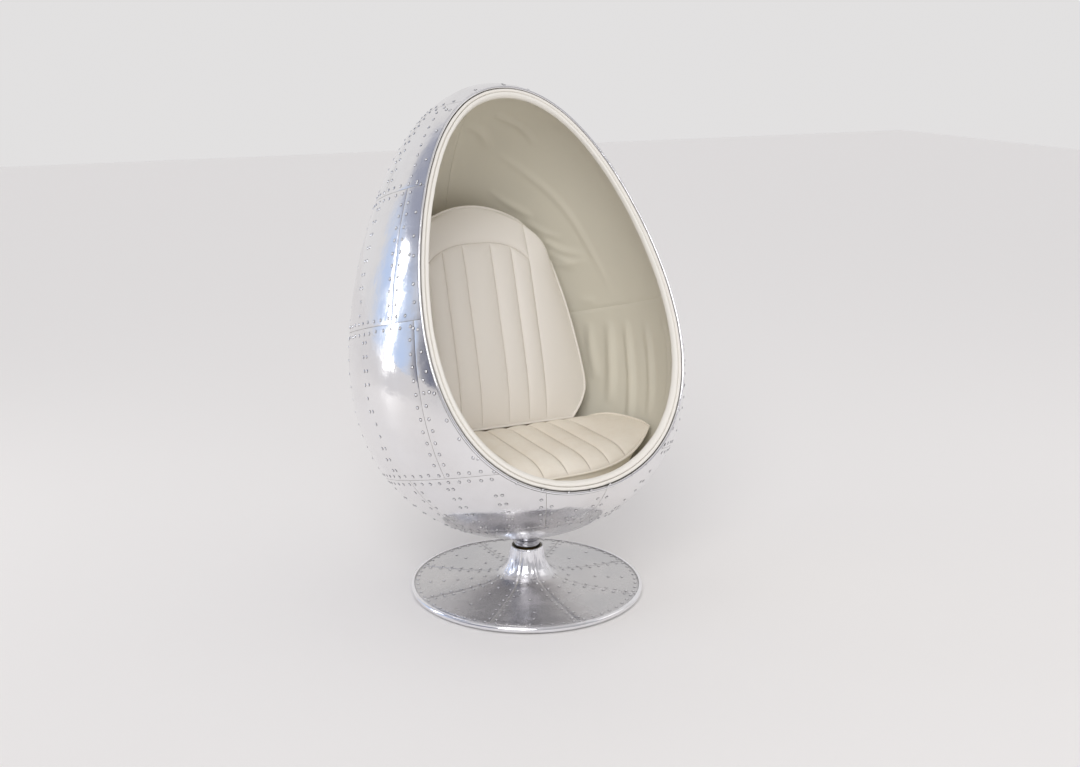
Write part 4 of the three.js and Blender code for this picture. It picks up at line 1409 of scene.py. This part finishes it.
def trumpet_point(share):
    """Radius and height of the trumpet, from its neck (0) to its edge (1), and which way is out."""
    neck = NECK_RADIUS - FLARE_WAIST
    edge = sizes().base_radius - BEAD_REACH - FLARE_WAIST
    flare = (FLARE_TOP - FLARE_FOOT) / (1 / neck - 1 / edge)
    out = neck * (edge / neck) ** share
    height = FLARE_FOOT + flare * (1 / out - 1 / edge)
    return FLARE_WAIST + out, height, Vector((flare / out**2, 1)).normalized()


def gore_crumple(radius, turn):
    """Crumpled sheet round the neck, fading outwards."""
    near = max(0.0, 1 - (radius - 0.045) / 0.07)
    place = Vector((sin(turn) * 2.0, cos(turn) * 2.0, radius * 40))
    folds = abs(noise.noise(place * 2.1)) * 0.004 + noise.noise(place * 4.5) * 0.0012
    return folds * near + noise.noise(place * 0.9) * 0.0006


def around(radius, turn, height):
    return Vector((radius * sin(turn), -radius * cos(turn), height))


def base_rivet(reach, turn):
    """Rivet place on the trumpet at a distance from the axis."""
    share = search(1.0, 20, lambda place: trumpet_point(place)[0] < reach)
    radius, height, normal = trumpet_point(share)
    direction = around(normal.x, turn, normal.y)
    lift = gore_crumple(radius, turn) - GORE_DROP
    return around(radius, turn, height) + direction * lift, direction


def gore_piece(index):
    """One of the sheets of the trumpet, crumpled round its neck, where a painted highlight
    brightens its colour.
    """
    columns, rows = ((26, 60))
    bm = grid(columns, rows)
    mask = bm.verts.layers.float.new("mask")
    for vert in bm.verts:
        across = edge_share(vert.co.x, columns, GORE_EDGE)
        radius, height, normal = trumpet_point(vert.co.y)
        turn = 2 * pi * (index + across) / GORES + (1 - 2 * across) * 0.0005 / radius
        side = min(across, 1 - across) * 2 * pi * radius / GORES
        tuck = 0.0006 * max(0.0, 1 - side / EDGE_WIDTH)
        lift = gore_crumple(radius, turn) - tuck - GORE_DROP
        # Share of the painted highlight: full up to 0.065 m from the axis, gone at 0.105 m
        vert[mask] = clip((0.105 - radius) / 0.04)
        vert.co = around(radius + normal.x * lift, turn, height + normal.y * lift)
    bmesh.ops.recalc_face_normals(bm, faces=bm.faces)
    if sum(f.normal.z > 0 for f in bm.faces) * 2 < len(bm.faces):
        bmesh.ops.reverse_faces(bm, faces=bm.faces)
    bmesh.ops.solidify(bm, geom=bm.faces[:], thickness=sizes().sheet_thickness)
    name, slot = f"gore_{index + 1}", "polished_aluminium"
    finish_piece(name, bm, BASE, "base_metal", f"trumpet_{name}")


def base_rivets():
    """Pairs of rivets beside the seams of the base, single ones between them and at its edge."""
    chance = random.Random(11)
    base = sizes().base_radius
    places = []
    for index in range(GORES):
        turn = 2 * pi * index / GORES
        reach, end, step = SEAM_ROW
        while reach < base - end:
            for side in (-1, 1):
                spot = turn + side * (0.012 + chance.uniform(-0.001, 0.001)) / reach
                places.append(base_rivet(reach + chance.uniform(-0.002, 0.002), spot))
            reach += step
        reach, end, step = RIB_ROW
        while reach < base - end:
            if chance.random() < 0.7:
                spot = turn + pi / GORES + chance.uniform(-0.02, 0.02)
                places.append(base_rivet(reach, spot))
            reach += step
    margin, step = EDGE_ROW
    count = round(2 * pi * base / step)
    places += [base_rivet(base - margin, 2 * pi * (i + 0.5) / count) for i in range(count)]
    return places


def turned_piece(name, section, body, finish_name, replaced):
    """Piece spun round the swivel from a closed section of (radius, height)."""
    bm = bmesh.new()
    verts = [bm.verts.new((r, 0, z)) for r, z in section]
    edges = [bm.edges.new((a, b)) for a, b in zip(verts, verts[1:] + verts[:1])]
    steps = 160
    spin = {"cent": (0, 0, 0), "axis": (0, 0, 1), "angle": 2 * pi, "steps": steps}
    bmesh.ops.spin(bm, geom=verts + edges, use_merge=True, **spin)
    bmesh.ops.remove_doubles(bm, verts=bm.verts, dist=1e-5)
    finish_piece(name, bm, body, finish_name, replaced, flip=True)


def rolled_edge():
    """Section of the bright bead round the base."""
    foot, (width, height) = sizes().base_radius - 0.012, BEAD_SECTION
    middle = sizes().base_radius - width
    section = [(foot, 0.0034)]
    for i in range(13):
        angle = -pi / 2 + pi * i / 12
        section.append((middle + width * cos(angle), BEAD_HEIGHT + height * sin(angle)))
    return section + [(foot, 0.0224)]


def hub_collar():
    """Profile of the turned hub over the neck, dark between its two beads."""
    low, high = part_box("swivel_hub")
    profile = [(radius, low.z + rise) for radius, rise in COLLAR]
    return profile + [(high.x, low.z + 0.028), (high.x, high.z), (COLLAR[0][0], high.z)]


class BaseOperator(bpy.types.Operator):
    """Builds the trumpet base: its gores, rivets and rolled edge, and the hub's collar"""

    bl_idname = "pod.base"
    bl_label = "Base"

    def execute(self, context):
        for index in range(GORES):
            gore_piece(index)
        rivets_piece("rivets_base", base_rivets(), BASE)
        turned_piece("base_rolled_edge", rolled_edge(), BASE, "bright_metal", "base_bead")
        turned_piece("hub_collar", hub_collar(), POD, "collar_metal", "swivel_hub")
        return {"FINISHED"}


# Frame, studio and panel

# What the metal mirrors, in the world: direction, where it starts and is full, colour
PALE = (0.76, 0.75, 0.75, 1)
SURROUNDINGS = (
    ((0.25, -1.0, 0.05), 0.05, 0.75, (0.44, 0.43, 0.44, 1)),
    ((-0.95, -0.28, 0.12), 0.80, 0.97, (0.20, 0.21, 0.27, 1)),
    ((-0.80, 0.58, 0.15), 0.90, 0.965, (0.54, 0.66, 0.90, 1)),
    ((-0.62, 0.45, 0.64), 0.90, 0.97, (0.34, 0.36, 0.45, 1)),
)
# Area lamps: name, place, target, size, power
AREA_LAMPS = (
    ("fill", (4.2, -2.2, 2.6), (0, 0, 0.8), (3.0, 3.0), 18),
    ("side", (-3.3, 1.95, 1.5), (-0.5, 0, 0.95), (0.36, 2.1), 12),
    ("front", (-0.8, -3.6, 1.45), (0, 0.1, 1.0), (2.6, 2.2), 16),
)
LAMP_TINT = (1.0, 0.99, 0.97)
SUN_PLACE, SUN_POWER, SUN_SPREAD = (-3.0, -4.2, 3.9), 1.08, 34
FLOOR_HALF = 14.0
CAMERA_TARGET = Vector((0, 0, 0.8))
CAMERA_DISTANCE = 4.5
CAMERA_AZIMUTH, CAMERA_ELEVATION, CAMERA_ROLL = radians(-27), radians(13.728), radians(0.364)
CAMERA_LENS = 46.734
CAMERA_SHIFT = (0.01106, -0.02835)


class FrameOperator(bpy.types.Operator):
    """Gives every carried-over node of the frame its finish"""

    bl_idname = "pod.frame_nodes"
    bl_label = "Frame finishes"

    def execute(self, context):
        slots = {part["node"]: part["material_slot"] for part in frame["record"]["subparts"]}
        for name, node in frame["nodes"].items():
            material = finish(SLOT_FINISHES.get(slots[name], "lining_leather"))
            node.data.materials.clear()
            node.data.materials.append(material)
        return {"FINISHED"}


class StageOperator(bpy.types.Operator):
    """Builds the floor, the soft light and the camera"""

    bl_idname = "pod.stage"
    bl_label = "Studio"

    def execute(self, context):
        bm = bmesh.new()
        bmesh.ops.create_grid(bm, x_segments=8, y_segments=8, size=FLOOR_HALF)
        mesh = mesh_of("studio_floor", bm)
        paint = bpy.data.materials.new("studio_floor")
        paint.use_nodes = True
        shader = paint.node_tree.nodes["Principled BSDF"]
        shader.inputs["Base Color"].default_value = tuple(colours().floor)
        shader.inputs["Roughness"].default_value = 0.6
        mesh.materials.append(paint)
        new_object("studio_floor", mesh)
        self.world(context.scene)
        sun = self.lamp("key", "SUN", SUN_PLACE, (0, 0, 0), SUN_POWER)
        sun.data.angle = radians(SUN_SPREAD)
        for name, place, target, size, power in AREA_LAMPS:
            lamp = self.lamp(name, "AREA", place, target, power)
            lamp.data.shape = "RECTANGLE"
            lamp.data.size, lamp.data.size_y = size
            lamp.data.color = LAMP_TINT
            lamp.visible_glossy = name != "front"
        self.camera(context.scene)
        return {"FINISHED"}

    def world(self, scene):
        """Pale surroundings with a few darker and bluer parts for the metal to mirror."""
        scene.world = bpy.data.worlds.new("studio")
        scene.world.use_nodes = True
        tree = scene.world.node_tree
        back = tree.nodes["Background"]
        back.inputs["Strength"].default_value = 1.0
        direction = add_node(tree, "ShaderNodeTexCoord").outputs["Generated"]
        shade = PALE
        for middle, low, high, tint in SURROUNDINGS:
            facing = add_node(tree, "ShaderNodeVectorMath", operation="DOT_PRODUCT")
            facing.inputs[1].default_value = Vector(middle).normalized()
            tree.links.new(direction, facing.inputs[0])
            share = spread(tree, facing.outputs["Value"], low, high, 0.0, 1.0)
            shade = mix_colours(tree, share, shade, tint)
        tree.links.new(shade, back.inputs["Color"])

    def lamp(self, name, kind, place, target, power):
        lamp = new_object(name, bpy.data.lights.new(name, kind))
        lamp.data.energy = power
        lamp.location = place
        lamp.rotation_euler = (Vector(target) - Vector(place)).to_track_quat("-Z", "Y").to_euler()
        return lamp

    def camera(self, scene):
        data = bpy.data.cameras.new("camera")
        data.sensor_width = 36
        data.sensor_fit = "HORIZONTAL"
        data.lens = CAMERA_LENS
        data.shift_x, data.shift_y = CAMERA_SHIFT
        level, up = cos(CAMERA_ELEVATION), sin(CAMERA_ELEVATION)
        away = Vector((sin(CAMERA_AZIMUTH) * level, -cos(CAMERA_AZIMUTH) * level, up))
        camera = new_object("camera", data)
        camera.location = CAMERA_TARGET + away * CAMERA_DISTANCE
        turn = (-away).to_track_quat("-Z", "Y").to_matrix()
        camera.rotation_euler = (turn @ Matrix.Rotation(CAMERA_ROLL, 3, "Z")).to_euler()
        scene.camera = camera
        scene.view_settings.view_transform = "Standard"


class PodPanel(bpy.types.Panel):
    """Lists the steps that build the looks of the pod chair"""

    bl_idname = "POD_PT_looks"
    bl_label = "Pod Chair"
    bl_space_type = "VIEW_3D"
    bl_region_type = "UI"
    bl_category = "Pod Chair"

    def draw(self, context):
        for operator in OPERATORS:
            self.layout.operator(operator.bl_idname)
        for group in (context.scene.pod_sizes, context.scene.pod_colours):
            for key in group.__annotations__:
                self.layout.prop(group, key)


OPERATORS = (
    FrameOperator,
    BaseOperator,
    SkinOperator,
    RimOperator,
    LiningOperator,
    SeatOperator,
    BackOperator,
    StageOperator,
)
CLASSES = (PodSizes, PodColours, *OPERATORS, PodPanel)


def register():
    for item in CLASSES:
        bpy.utils.register_class(item)
    bpy.types.Scene.pod_sizes = bpy.props.PointerProperty(type=PodSizes)
    bpy.types.Scene.pod_colours = bpy.props.PointerProperty(type=PodColours)


def unregister():
    del bpy.types.Scene.pod_colours
    del bpy.types.Scene.pod_sizes
    for item in reversed(CLASSES):
        bpy.utils.unregister_class(item)


def main():
    register()
    bpy.ops.pod.frame_nodes()
    bpy.ops.pod.base()
    bpy.ops.pod.skin()
    bpy.ops.pod.rim()
    bpy.ops.pod.lining()
    bpy.ops.pod.seat()
    bpy.ops.pod.back()
    bpy.ops.pod.stage()


if __name__ == "__main__":
    main()
